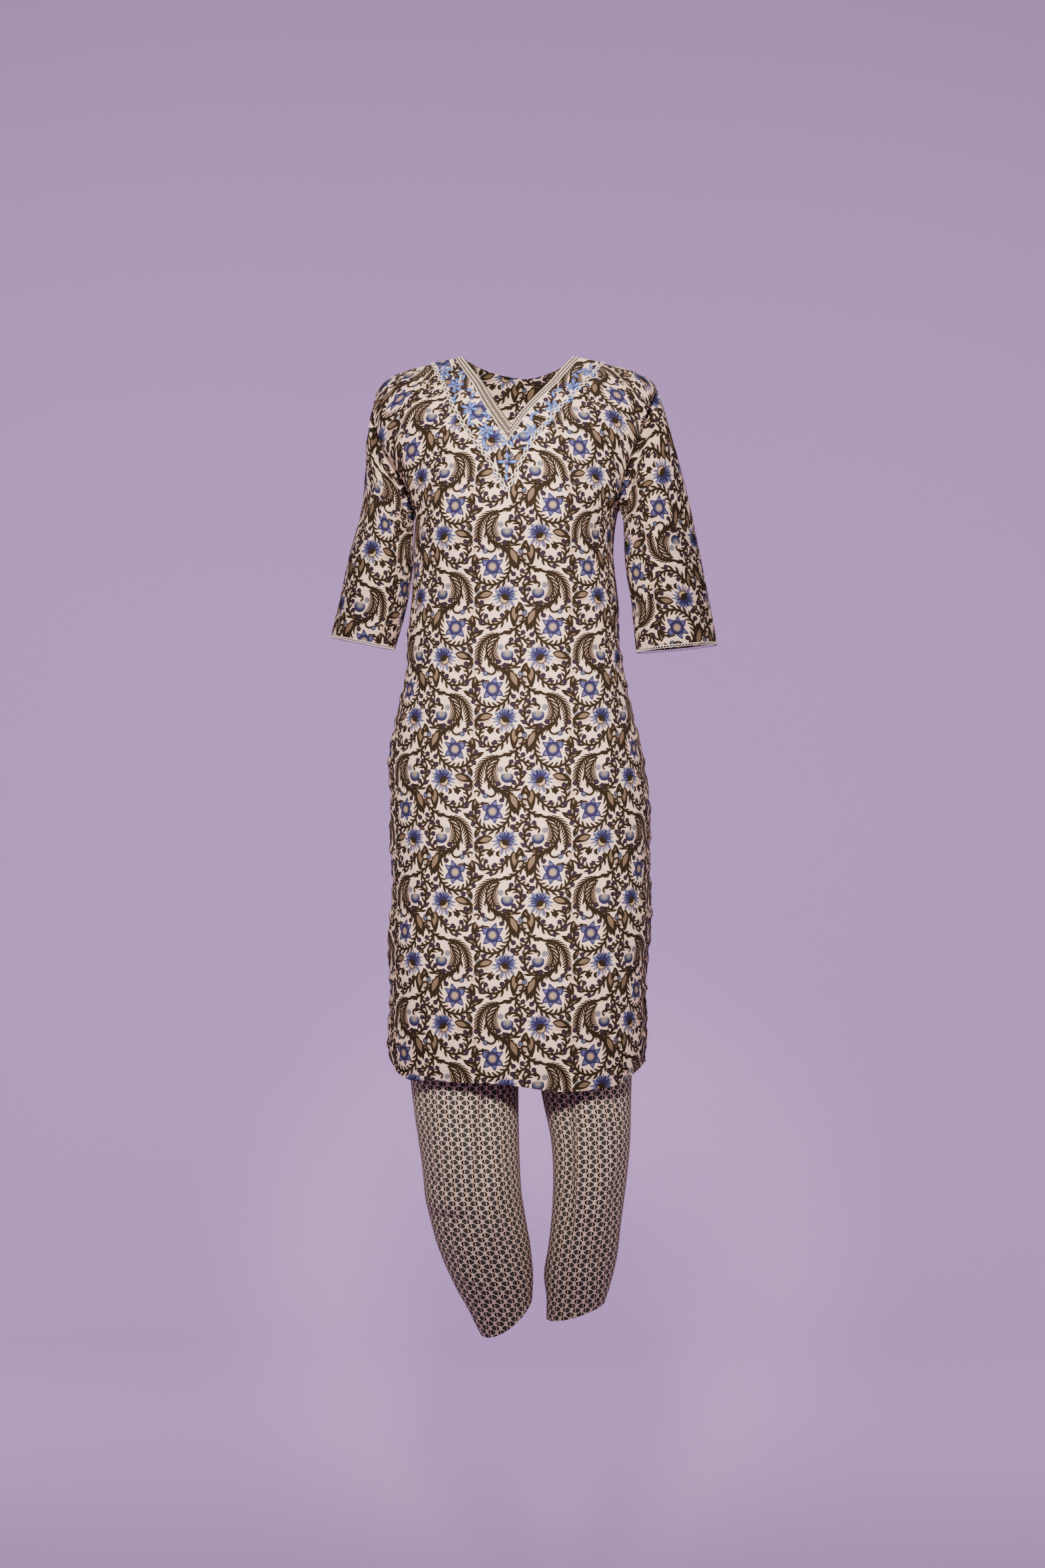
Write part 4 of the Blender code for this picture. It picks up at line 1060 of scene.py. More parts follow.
def makeLeg(side):
    table, cuff = legs[side], legCuffs[side]
    sign = -1.0 if side == "left" else 1.0
    shares = np.arange(mesh["legColumns"] + 1) / mesh["legColumns"]
    grid = []
    for step in range(mesh["hipRows"]):
        height = waist["seam"] - cut["seamGap"] + (waist["crotch"] - waist["seam"]) * step / mesh["hipRows"]
        tuckedIn = float(smoothStep(waist["seam"], waist["hipInsetFull"], height))
        inset = waist["inset"] + waist["hipInset"] * tuckedIn
        blend = float(smoothStep(waist["hipLine"], waist["crotch"], height))
        upper = hipPoint(shares, height, sign, inset)
        lower = legPoint(shares, max(height, waist["crotch"]), table, sign, cuff, 0.0)
        lower[:, 2] = height
        grid.append(upper * (1 - blend) + lower * blend)
    bottom = float(table["height"][-1])
    for step in range(mesh["legRows"] + 1):
        height = waist["crotch"] + (bottom - waist["crotch"]) * step / mesh["legRows"]
        lowered = float(smoothStep(waist["hemTilt"], bottom, height))
        grid.append(legPoint(shares, height, table, sign, cuff, lowered))
    grid = np.array(grid)
    normals = gridNormals(grid, closed=False)
    sense = -1.0 if normals[-3, mesh["legColumns"] // 4, 1] > 0 else 1.0
    strengths = smoothStep(waist["hipLine"], waist["crotch"], grid[:, mesh["legColumns"] // 2, 2])
    grid = pressFolds(grid, normals * sense, shares, strengths, legFolds[side], "leg_" + side)
    normals = gridNormals(grid, closed=False) * sense
    for end, turnTo in ((0, 1.0), (-1, -1.0)):
        run = np.gradient(grid[:, end], axis=0)
        hip = np.stack((np.zeros(len(run)), turnTo * run[:, 2], -turnTo * run[:, 1]), axis=1)
        upper = np.arange(len(grid)) < mesh["hipRows"]
        normals[upper, end] = hip[upper]
        normals[~upper, end, 1] = 0.0
    normals[0, :, 2] = 0.0
    normals = unit(normals)
    around = runAcross(grid)
    middle = mesh["legColumns"] // 4
    flat = np.stack((around - around[:, middle:middle + 1], grid[..., 2]), axis=2)
    piece = clothShell("salwar_cloth_" + side, grid, grid - normals * cut["wall"], False, [salwarCloth], flat)
    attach(piece, "root")
    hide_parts("salwar_leg_" + side)
    lowest = [points[::-1] for points in (grid, normals)]
    on = "leg" + side.capitalize()
    stitchRow("cuff_stitches_" + side, edgeLine(*lowest, hemTurn["cuffDepth"]), darkThread, on=on)


def makeWaistband():
    shares = np.arange(1, mesh["legColumns"]) / mesh["legColumns"]
    grid = []
    for height in np.linspace(waist["seam"], waist["top"], mesh["bandRows"]):
        front = turned(bodyPoint(0.0, height, "front", waist["inset"]))
        left = hipPoint(shares, height, -1.0, waist["inset"])
        back = turned(bodyPoint(0.0, height, "back", waist["inset"]))
        right = hipPoint(1.0 - shares, height, 1.0, waist["inset"])
        grid.append(np.concatenate((front[None], left, back[None], right)))
    grid = np.array(grid)
    normals = gridNormals(grid, closed=True)
    if normals[0, 0, 1] > 0:
        normals = -normals
    normals[:, :, 2] = 0.0
    normals = unit(normals)
    loop = np.concatenate((grid, grid[:, :1]), axis=1)
    flat = np.stack((runAcross(loop), loop[..., 2]), axis=2)
    piece = clothShell("waistband_cloth", grid, grid - normals * cut["wall"], True, [salwarCloth], flat)
    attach(piece, "root")
    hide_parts("salwar_waistband")


# Geometry Nodes lay stitches, beads and threads along paths.
def newTree(name, sockets):
    tree = bpy.data.node_groups.new(name, "GeometryNodeTree")
    for label, kind in sockets:
        tree.interface.new_socket(label, in_out="INPUT", socket_type="NodeSocket" + kind)
    tree.interface.new_socket("Geometry", in_out="OUTPUT", socket_type="NodeSocketGeometry")
    start, end = tree.nodes.new("NodeGroupInput"), tree.nodes.new("NodeGroupOutput")
    return tree, start, end


def makeStitchTree():
    tree, start, end = newTree("laidStitches", (
        ("Geometry", "Geometry"), ("Motif", "Object"), ("Size", "Float"), ("Unevenness", "Float"),
        ("Seed", "Int"), ("Finish", "Material"),
    ))
    new, link = tree.nodes.new, tree.links.new
    motif = new("GeometryNodeObjectInfo")
    link(start.outputs["Motif"], motif.inputs["Object"])
    rotation = None
    for attribute, axis, pivot in (("facing", "Z", "AUTO"), ("heading", "X", "Z")):
        named = new("GeometryNodeInputNamedAttribute")
        named.data_type = "FLOAT_VECTOR"
        named.inputs["Name"].default_value = attribute
        align = new("FunctionNodeAlignRotationToVector")
        align.axis, align.pivot_axis = axis, pivot
        link(named.outputs["Attribute"], align.inputs["Vector"])
        if rotation is not None:
            link(rotation, align.inputs["Rotation"])
        rotation = align.outputs["Rotation"]
    low, high = new("ShaderNodeMath"), new("ShaderNodeMath")
    low.operation, high.operation = "SUBTRACT", "ADD"
    for node in (low, high):
        link(start.outputs["Size"], node.inputs[0])
        link(start.outputs["Unevenness"], node.inputs[1])
    size = new("FunctionNodeRandomValue")
    size.data_type = "FLOAT"
    numbers = [slot for slot in size.inputs if slot.type == "VALUE"]
    lowSlot, highSlot = [slot for slot in numbers if slot.name in ("Min", "Max")][:2]
    link(low.outputs[0], lowSlot)
    link(high.outputs[0], highSlot)
    link(start.outputs["Seed"], size.inputs["Seed"])
    laid = new("GeometryNodeInstanceOnPoints")
    link(start.outputs["Geometry"], laid.inputs["Points"])
    link(motif.outputs["Geometry"], laid.inputs["Instance"])
    link(rotation, laid.inputs["Rotation"])
    link([slot for slot in size.outputs if slot.type == "VALUE"][0], laid.inputs["Scale"])
    finishTree(tree, laid.outputs["Instances"], start, end)
    return tree


def makeThreadTree():
    tree, start, end = newTree("laidThread", (
        ("Geometry", "Geometry"), ("Radius", "Float"), ("Sides", "Int"), ("Finish", "Material"),
    ))
    new, link = tree.nodes.new, tree.links.new
    curve = new("GeometryNodeMeshToCurve")
    profile = new("GeometryNodeCurvePrimitiveCircle")
    tube = new("GeometryNodeCurveToMesh")
    tube.inputs["Fill Caps"].default_value = True
    link(start.outputs["Geometry"], curve.inputs["Mesh"])
    link(start.outputs["Radius"], profile.inputs["Radius"])
    link(start.outputs["Sides"], profile.inputs["Resolution"])
    link(curve.outputs["Curve"], tube.inputs["Curve"])
    link(profile.outputs["Curve"], tube.inputs["Profile Curve"])
    finishTree(tree, tube.outputs["Mesh"], start, end)
    return tree


def finishTree(tree, geometry, start, end):
    new, link = tree.nodes.new, tree.links.new
    real = new("GeometryNodeRealizeInstances")
    shaded = new("GeometryNodeSetShadeSmooth")
    finish = new("GeometryNodeSetMaterial")
    link(geometry, real.inputs["Geometry"])
    link(real.outputs["Geometry"], shaded.inputs["Geometry"])
    link(shaded.outputs["Geometry"], finish.inputs["Geometry"])
    link(start.outputs["Finish"], finish.inputs["Material"])
    link(finish.outputs["Geometry"], end.inputs["Geometry"])


def grow(name, points, edges, tree, settings, attributes=None):
    data = bpy.data.meshes.new(name)
    data.from_pydata([tuple(point) for point in points], edges, [])
    for label, vectors in (attributes or {}).items():
        layer = data.attributes.new(label, "FLOAT_VECTOR", "POINT")
        layer.data.foreach_set("vector", np.asarray(vectors, np.float32).ravel())
    seedling = placed(name + "_path", data)
    modifier = seedling.modifiers.new("laid", "NODES")
    modifier.node_group = tree
    for socket in tree.interface.items_tree:
        if socket.in_out == "INPUT" and socket.name in settings:
            modifier[socket.identifier] = settings[socket.name]
    seedling.update_tag()
    depsgraph = bpy.context.evaluated_depsgraph_get()
    grown = bpy.data.meshes.new_from_object(seedling.evaluated_get(depsgraph))
    bpy.data.objects.remove(seedling, do_unlink=True)
    grown.name = name
    for label in ("heading", "facing"):
        if label in grown.attributes:
            grown.attributes.remove(grown.attributes[label])
    return placed(name, grown)


def layThreads(name, paths, radius, material, sides=8):
    points, edges = [], []
    for path in paths:
        first = len(points)
        points += [tuple(point) for point in path]
        edges += [(first + i, first + i + 1) for i in range(len(path) - 1)]
    settings = {"Radius": radius, "Sides": sides, "Finish": material}
    return grow(name, points, edges, threadTree, settings)


def layStitches(name, places, headings, facings, motif, material, size=1.0, unevenness=0.0, seed=1):
    settings = {"Motif": motif, "Size": size, "Unevenness": unevenness, "Seed": seed, "Finish": material}
    return grow(name, places, [], stitchTree, settings, {"heading": headings, "facing": facings})


def evenly(path, pitch):
    # Points and headings at an even pitch along a path.
    path = np.asarray(path, float)
    steps = np.linalg.norm(np.diff(path, axis=0), axis=1)
    along = np.concatenate(([0.0], np.cumsum(steps)))
    count = max(int(round(along[-1] / pitch)), 2)
    places = (np.arange(count) + 0.5) * along[-1] / count
    points = np.stack([np.interp(places, along, path[:, axis]) for axis in range(3)], axis=1)
    ahead = np.stack([np.interp(places + pitch * 0.2, along, path[:, axis]) for axis in range(3)], axis=1)
    behind = np.stack([np.interp(places - pitch * 0.2, along, path[:, axis]) for axis in range(3)], axis=1)
    return points, unit(ahead - behind)


def ringMotif(name, length, width, thread, around=10, sides=5):
    # A closed loop of thread lying flat, pointed at one end, as one link of a chain stitch.
    points, faces = [], []
    for i in range(around):
        angle = 2 * math.pi * i / around
        taper = 1.0 - 0.35 * math.cos(angle)
        centre = np.array((math.cos(angle) * length / 2, math.sin(angle) * width / 2 * taper, 0.0))
        out = unit(np.array((math.cos(angle) / length, math.sin(angle) / width, 0.0)))
        for j in range(sides):
            turn = 2 * math.pi * j / sides
            rise = np.array((0.0, 0.0, thread * math.sin(turn)))
            points.append(centre + out * thread * math.cos(turn) + rise)
            here, following, over = i * sides, (i + 1) % around * sides, (j + 1) % sides
            faces.append((here + j, following + j, following + over, here + over))
    return motifObject(name, points, faces)


def domeMotif(name, length, width, height, around=8, rings=3):
    # A small pad or bead: rings of points closing at the top and below.
    points, faces = [(0.0, 0.0, -height * 0.4)], []
    for ring in range(rings):
        rise = math.pi / 2 * ring / rings
        for i in range(around):
            turn = 2 * math.pi * i / around
            points.append((
                math.cos(turn) * math.cos(rise) * length / 2,
                math.sin(turn) * math.cos(rise) * width / 2,
                math.sin(rise) * height,
            ))
    points.append((0.0, 0.0, height))
    top = len(points) - 1
    for i in range(around):
        j = (i + 1) % around
        faces.append((0, 1 + j, 1 + i))
        faces.append((top, top - around + i, top - around + j))
        for ring in range(rings - 1):
            low = 1 + ring * around
            faces.append((low + i, low + j, low + around + j, low + around + i))
    return motifObject(name, points, faces)


def motifObject(name, points, faces):
    data = bpy.data.meshes.new(name)
    data.from_pydata([tuple(map(float, point)) for point in points], [], faces)
    work = bmesh.new()
    work.from_mesh(data)
    bmesh.ops.recalc_face_normals(work, faces=work.faces)
    work.to_mesh(data)
    work.free()
    motif = placed(name, data)
    motifs.append(motif)
    return motif


motifs = []


# Materials. A Field is a number that varies over the cloth; sums and products of Fields become Math nodes.
class Field:
    nodes = None

    def __init__(self, socket):
        self.socket = socket

    def __add__(self, other):
        return calculate("ADD", self, other)

    def __radd__(self, other):
        return calculate("ADD", self, other)

    def __sub__(self, other):
        return calculate("SUBTRACT", self, other)

    def __rsub__(self, other):
        return calculate("SUBTRACT", other, self)

    def __mul__(self, other):
        return calculate("MULTIPLY", self, other)

    def __rmul__(self, other):
        return calculate("MULTIPLY", self, other)

    def __truediv__(self, other):
        return calculate("DIVIDE", self, other)


def plug(value, slot):
    if isinstance(value, Field):
        Field.nodes.id_data.links.new(value.socket, slot)
    elif isinstance(value, tuple):
        slot.default_value = (*value, 1.0) if len(slot.default_value) == 4 else value
    else:
        slot.default_value = value


def calculate(operation, *values):
    node = Field.nodes.new("ShaderNodeMath")
    node.operation = operation
    for value, slot in zip(values, node.inputs):
        plug(value, slot)
    return Field(node.outputs[0])


def root(value):
    return calculate("SQRT", value)


def arctangent(up, right):
    return calculate("ARCTAN2", up, right)


def absolute(value):
    return calculate("ABSOLUTE", value)


def wrapped(value, low, high):
    return calculate("WRAP", value, high, low)


def least(first, second):
    return calculate("MINIMUM", first, second)


def most(first, second):
    return calculate("MAXIMUM", first, second)


def above(value, limit):
    return calculate("GREATER_THAN", value, limit)


def below(value, limit):
    return calculate("LESS_THAN", value, limit)


def rounded(value):
    return calculate("ROUND", value)


def sine(value):
    return calculate("SINE", value)


def ranged(value, low, high, start, end):
    node = Field.nodes.new("ShaderNodeMapRange")
    node.interpolation_type = "SMOOTHSTEP"
    for slot, number in zip(node.inputs, (value, low, high, start, end)):
        plug(number, slot)
    return Field(node.outputs[0])


def smooth(value, low, high, top=1.0):
    return ranged(value, low, high, 0.0, top)


def fade(value, low, high, top=1.0):
    return ranged(value, low, high, top, 0.0)


def lookUp(value, stops):
    node = Field.nodes.new("ShaderNodeValToRGB")
    ramp = node.color_ramp
    while len(ramp.elements) > 1:
        ramp.elements.remove(ramp.elements[-1])
    ramp.elements[0].position = stops[0][0]
    ramp.elements[0].color = (*stops[0][1:], 1.0)
    for position, *numbers in stops[1:]:
        ramp.elements.new(position).color = (*numbers, 1.0)
    plug(value, node.inputs["Fac"])
    parts = Field.nodes.new("ShaderNodeSeparateColor")
    Field.nodes.id_data.links.new(node.outputs["Color"], parts.inputs["Color"])
    return [Field(output) for output in parts.outputs]


def tint(colour):
    node = Field.nodes.new("ShaderNodeRGB")
    node.outputs[0].default_value = (*colour, 1.0)
    return Field(node.outputs[0])


def blend(mask, under, over):
    node = Field.nodes.new("ShaderNodeMix")
    node.data_type = "RGBA"
    sockets = {socket.identifier: socket for socket in node.inputs}
    plug(mask, sockets["Factor_Float"])
    plug(under, sockets["A_Color"])
    plug(over, sockets["B_Color"])
    return Field({socket.identifier: socket for socket in node.outputs}["Result_Color"])


# The kurta's print, in millimetres. Vine outlines: place along (degrees), radius, leaflet length, half width.
flowerLoop = (
    (86, 39.0, 0.0, 0.0), (91, 36.5, 0.0, 0.9), (100, 31.7, 3.0, 0.9), (118, 29.2, 5.8, 0.9),
    (135, 28.4, 6.4, 0.9), (153, 26.6, 6.4, 0.9), (178, 24.3, 6.4, 0.9), (203, 23.0, 6.4, 0.9),
    (227, 22.7, 6.4, 0.9), (251, 22.8, 6.4, 0.9), (277, 23.6, 6.4, 0.9), (301, 24.7, 6.4, 0.9),
    (321, 25.4, 6.4, 0.9), (344, 23.8, 6.4, 0.9), (367, 23.1, 6.0, 0.9), (388, 21.6, 5.4, 0.8),
    (403, 17.8, 3.6, 0.7), (428, 12.4, 0.0, 0.7), (431, 12.0, 0.0, 0.0),
)
scrollLoop = (
    (74, 32.4, 4.5, 1.0), (88, 28.9, 3.5, 0.9), (108, 27.2, 1.0, 0.7), (130, 27.3, 0.2, 0.6),
    (147, 27.1, 0.2, 0.6), (166, 26.0, 0.4, 0.7), (184, 24.4, 3.5, 0.9), (206, 23.4, 6.5, 1.0),
    (223, 22.7, 5.0, 1.1), (241, 21.0, 4.5, 1.1), (262, 19.9, 5.2, 1.0), (283, 19.8, 5.8, 0.9),
    (310, 21.5, 6.2, 0.9), (330, 22.2, 6.2, 0.9), (348, 21.6, 6.2, 0.9), (372, 22.0, 6.2, 0.9),
    (388, 21.8, 6.0, 0.8), (404, 19.2, 5.4, 0.8), (426, 15.6, 4.6, 0.7), (434, 14.6, 3.4, 0.7),
)
basketLoop = (
    (176, 24.0, 0.0, 0.0), (180, 22.0, 2.0, 0.8), (191, 18.7, 5.0, 0.8), (216, 17.1, 6.0, 0.8),
    (247, 16.5, 6.4, 0.8), (273, 16.1, 6.4, 0.8), (306, 17.1, 6.4, 0.8), (330, 18.1, 6.4, 0.8),
    (354, 18.5, 6.6, 0.8), (375, 17.6, 6.0, 0.8), (397, 16.1, 3.0, 0.8), (419, 12.4, 0.0, 1.0),
    (424, 11.5, 0.0, 0.0),
)
sprigLoop = (
    (166, 13.0, 0.0, 0.0), (170, 12.2, 3.0, 0.7), (200, 12.0, 5.0, 0.7), (235, 11.6, 5.8, 0.7),
    (262, 12.0, 5.8, 0.7), (290, 14.5, 5.4, 0.6), (302, 17.0, 2.4, 0.6), (306, 18.0, 0.0, 0.0),
)
longStem = (
    (-1.0, 0.0, 0.0, 0.0), (0.0, 0.0, 1.0, 1.0), (12, -0.8, 3.8, 1.0), (24, -1.4, 4.6, 1.0),
    (36, 0.0, 4.8, 0.9), (51, 1.9, 4.8, 0.9), (64, 2.8, 4.6, 0.9), (75, 0.8, 3.8, 0.9), (76, 0.6, 0.0, 0.0),
)
outerFeather = (
    (96, 27.5, 0.0, 0.0), (112, 28.6, 2.8, 0.9), (130, 31.2, 5.0, 1.0), (151, 33.6, 6.2, 1.0),
    (167, 34.8, 6.4, 1.0), (183, 35.8, 6.0, 0.9), (198, 37.0, 5.0, 0.8), (210, 38.6, 1.6, 0.6),
    (213, 39.0, 0.0, 0.0),
)
innerFeather = (
    (104, 24.0, 0.0, 0.0), (112, 23.0, 3.0, 0.6), (131, 20.4, 5.6, 0.7), (152, 18.4, 7.2, 0.7),
    (177, 17.2, 8.0, 0.7), (202, 15.8, 7.2, 0.6), (225, 14.2, 5.2, 0.6), (243, 12.6, 2.6, 0.5),
    (249, 12.0, 0.0, 0.0),
)
starOutline = (
    (0, 11.0), (14, 13.6), (33, 16.8), (50, 11.0), (70, 8.8), (88, 11.4), (107, 17.0), (121, 10.8),
    (131, 11.4), (145, 17.4), (161, 11.4), (178, 8.8), (195, 12.4), (213, 16.6), (228, 11.4),
    (239, 10.8), (258, 16.4), (273, 11.0), (286, 9.4), (300, 13.0), (314, 17.4), (330, 12.0), (348, 8.8),
)
florets = (
    ("flower", -40.4, -6.4), ("flower", -28.9, -10.1), ("flower", -56.5, -15.6), ("flower", -48.2, -16.5),
    ("flower", 19.3, -0.9), ("flower", -12.4, 15.6), ("flower", 29.4, -2.8), ("flower", 26.6, -17.9),
    ("flower", -84.2, -1.1), ("scroll", -38.6, -30.8), ("scroll", -49.6, -31.7), ("scroll", -53.2, -43.6),
    ("scroll", -43.1, -45.4), ("scroll", -65.6, -50.5), ("side", 11.9, -29.4), ("side", 15.1, -49.1),
    ("basket", 9.2, -67.5), ("basket", -3.2, -72.5), ("basket", 16.5, -74.8), ("basket", -13.0, -66.0),
    ("side", 30.0, -47.5), ("flower", -27.0, -20.5), ("flower", 13.5, 26.5), ("scroll", -74.5, -46.0),
)
printColours = {
    "ground": (0.81, 0.585, 0.47), "brown": (0.018, 0.011, 0.0055), "peach": (0.40, 0.20, 0.09),
    "beige": (0.155, 0.103, 0.066), "indigo": (0.020, 0.016, 0.060), "lilac": (0.082, 0.082, 0.186),
    "blueGrey": (0.083, 0.101, 0.150), "sky": (0.085, 0.094, 0.200), "cream": (0.42, 0.29, 0.16),
    "floret": (0.022, 0.012, 0.022), "shade": (0.13, 0.082, 0.050), "heart": (0.10, 0.085, 0.12),
}


# Every second row of the repeat is mirrored; each part of it is drawn round its own centre.
printRow = {"height": 83.4, "halfWidth": 67, "mirror": 26}
printCentres = {"flower": (-20, 4), "scroll": (-65, -36), "basket": (-10, -62), "side": (5, -38)}
washes = (   # part of the repeat, centre, half width, half height
    ("flower", (-34.0, 16.0), 9.0, 6.0), ("basket", (-36.0, -58.0), 7.0, 8.0),
    ("side", (9.0, -44.0), 10.0, 6.0), ("flower", (24.0, 22.0), 7.0, 5.0),
    ("scroll", (-17.5, -50.0), 10.0, 5.0), ("scroll", (-49.0, -22.0), 8.0, 4.0),
    ("flower", (-24.0, -30.0), 8.0, 5.0), ("side", (26.0, -44.0), 5.0, 8.0),
)
blots = (   # the same columns for the blots, berries and tufts
    ("scroll", (-71.1, -26.2), 4.0, 4.2), ("side", (20.2, -35.0), 4.0, 5.0),
    ("side", (22.5, -52.0), 4.0, 4.8),
)
berries = (("flower", (9.6, 21.0), 4.0, 3.6), ("basket", (-43.6, -63.0), 3.6, 4.6))
tufts = (
    ("basket", (2.6, -55.6), 4.4, 5.0), ("basket", (-7.0, -57.0), 2.6, 4.4),
    ("basket", (-20.0, -63.0), 3.6, 4.2),
)
plumes = ((outerFeather, 0.85, 0.80), (innerFeather, 0.80, 0.60))   # outline, leaflet width, fill
vineLoops = (   # part of the repeat, centre, outline, spacing, slant, leaflet width, phase
    ("flower", (0.0, -1.4), flowerLoop, 7.8, 0.9, 1.12, 0.0),
    ("flower", (-36.7, -4.1), sprigLoop, 7.2, 0.8, 1.02, 0.0),
    ("basket", (0.0, -62.9), basketLoop, 8.0, 0.9, 1.12, 3.0),
)
stemFrom, stemAlong = (-0.9, 34.4), (-0.841, -0.541)
hooks = (   # part of the repeat, centre, radius
    ("flower", (21.5, 24.0), 3.4), ("basket", (-38.6, -70.0), 3.6), ("scroll", (-60.5, -25.4), 3.4),
)
hookGap = (-40, 60)   # middle and half, in degrees
arcs = (   # part of the repeat, centre, radius, middle and half of the arc in degrees
    ("flower", (2.2, 26.4), 6.3, -115, 72), ("scroll", (-54.9, -35.8), 14.6, 84, 42),
)
printLeaves = (   # part of the repeat, centre, heading in degrees, length, width, bend
    ("flower", (-30.0, 12.2), -113, 29, 10.0, 1.2), ("side", (11.4, -38.4), -17, 23, 9.0, -0.8),
    ("basket", (-29.6, -66.3), -92, 25, 9.6, 0.8), ("flower", (30.2, -8.8), 22, 15, 5.0, 0.6),
    ("flower", (24.4, 9.8), -79, 14, 5.4, 0.5), ("flower", (-44.2, 29.4), -62, 12, 5.0, 0.4),
    ("flower", (20.4, -28.2), -58, 11, 4.6, -0.5), ("scroll", (-31.0, -24.0), 40, 11, 4.4, 0.4),
    ("scroll", (-35.6, -56.0), -60, 12, 4.6, -0.4), ("basket", (20.6, -52.0), 60, 12, 4.6, 0.5),
    ("flower", (-24.6, 30.6), 20, 11, 4.4, 0.4),
)
floretSize = 3.5
starReach = 20     # radius that the star's outline is a share of
notHere = 9        # added to a distance where a line isn't drawn
# A vine's outline is stored in a colour ramp, as shares of these.
stored = {"reachFrom": 10, "reach": 50, "leaflet": 10, "half": 4}
leafletLonger, stemThicker = 1.15, 1.2


def polar(x, y, centre):
    right, up = x - centre[0], y - centre[1]
    return arctangent(up, right) * (180 / math.pi), root(right * right + up * up)


def sprigs(along, across, outline, spacing, slant, leafWidth, phase=0.0):
    start, end = outline[0][0], outline[-1][0]
    stops = [
        ((place - start) / (end - start), (reach + stored["reachFrom"]) / stored["reach"],
         leaflet / stored["leaflet"], half / stored["half"])
        for place, reach, leaflet, half in outline
    ]
    if end > 180:
        along = wrapped(along, start, start + 360)
    stem, leaf, half = lookUp((along - start) * (1 / (end - start)), stops)
    out = across + stored["reachFrom"] - stem * stored["reach"]
    away = absolute(out)
    perUnit = outline[len(outline) // 2][1] * math.pi / 180 if end > 180 else 1
    sideways = along * perUnit + phase - away * slant + above(out, 0) * (spacing / 2)
    share = (away + 0.2) / (leaf * (stored["leaflet"] * leafletLonger) + 0.05)
    plump = share * (1 - share) * (5.4 * leafWidth)
    leaflet = absolute(wrapped(sideways, -spacing / 2, spacing / 2)) - plump + above(share, 1) * notHere
    stalk = away - half * (stored["half"] * stemThicker) + below(half, 0.02) * notHere
    return least(stalk, leaflet), away, leaf


def leafShape(x, y, centre, heading, length, width, bend):
    right, up = x - centre[0], y - centre[1]
    c, s = math.cos(math.radians(heading)), math.sin(math.radians(heading))
    along = right * (c * 2 / length) + up * (s * 2 / length)
    across = up * c - right * s - along * along * bend
    body = (1 - along * along) * (1 - least(along, 1) * 0.35)
    return absolute(across) - body * (width / 2), across, along


def spot(x, y, centre, wide, tall):
    right, up = (x - centre[0]) * (1 / wide), (y - centre[1]) * (1 / tall)
    return root(right * right + up * up)


def nearestSpot(places, spots):
    nearest = None
    for name, centre, wide, tall in spots:
        distance = spot(*places[name], centre, wide, tall)
        nearest = distance if nearest is None else least(nearest, distance)
    return nearest


def printFrame(x, y, centre):
    row = rounded((y - centre[1]) * (1 / printRow["height"]))
    flip = 1 - wrapped(row, 0, 2) * 2
    half = printRow["halfWidth"]
    across = wrapped(x * flip + (printRow["mirror"] - centre[0]), -half, half) + centre[0]
    return across, y - row * printRow["height"]


def paintWashes(colour, places):
    # Soft peach washes behind the leaves.
    for name, centre, wide, tall in washes:
        wash = spot(*places[name], centre, wide, tall)
        colour = blend(fade(wash, 0.2, 1.1, 0.6), colour, printColours["peach"])
    return colour


def paintPlumes(colour, places):
    # Shaded plumes on both sides of the scroll; their lines are drawn with the vines.
    angle, radius = polar(*places["scroll"], (-65.2, -35.3))
    lines = sprigs(angle, radius, scrollLoop, 8.4, 0.9, 1.15)[0]
    for outline, leafWidth, strength in plumes:
        plume, away, leaf = sprigs(angle, radius, outline, 4.8, 1.25, leafWidth)
        fill = away * 0.12 - leaf + below(leaf, 0.05) * notHere
        colour = blend(fade(fill, -0.5, 0.05, strength), colour, printColours["shade"])
        lines = least(lines, plume)
    return colour, lines


def paintBlots(colour, places, rough):
    faint = spot(*places["flower"], (-43.6, 13.2), 4.6, 5.0) + rough * 0.25
    colour = blend(fade(faint, 0.7, 1.1, 0.7), colour, printColours["beige"])
    colour = blend(fade(nearestSpot(places, blots), 0.85, 1.15, 0.9), colour, printColours["blueGrey"])
    berry = nearestSpot(places, berries)
    colour = blend(fade(berry, 0.95, 1.1), colour, printColours["indigo"])
    return blend(fade(berry, 0.55, 0.75), colour, printColours["blueGrey"])


def paintThistle(colour, x, y):
    # Mixed rays round a half moon.
    angle, radius = polar(x, y, (-17.4, -40.6))
    turn = angle * (math.pi / 180)
    ray = sine(turn * 15 + sine(turn * 4 + 1) * 1.6)
    fan = radius - ray * 3.6 - sine(turn * 5 + 2) * 1.4 - 14.0
    low = fade(y, -52.0, -42.0)
    rays = fade(fan, -0.4, 1.3) * (smooth(ray, -1.2, -0.5, 0.65) + 0.35)
    colour = blend(rays, colour, printColours["sky"])
    colour = blend(fade(fan, -1.0, 0.5) * low * fade(ray, -0.5, 0.3, 0.8), colour, printColours["peach"])
    core = spot(x, y, (-18.2, -37.6), 10.6, 9.0) + ray * 0.34
    colour = blend(fade(core, 0.80, 1.05), colour, printColours["indigo"])
    eye = spot(x, y, (-16.0, -43.6), 6.4, 6.4)
    colour = blend(fade(eye, 0.98, 1.1), colour, printColours["brown"])
    moon = most(eye, 2.0 - spot(x, y, (-19.0, -39.0), 6.2, 6.2))
    return blend(fade(moon, 0.78, 0.90), colour, printColours["cream"])


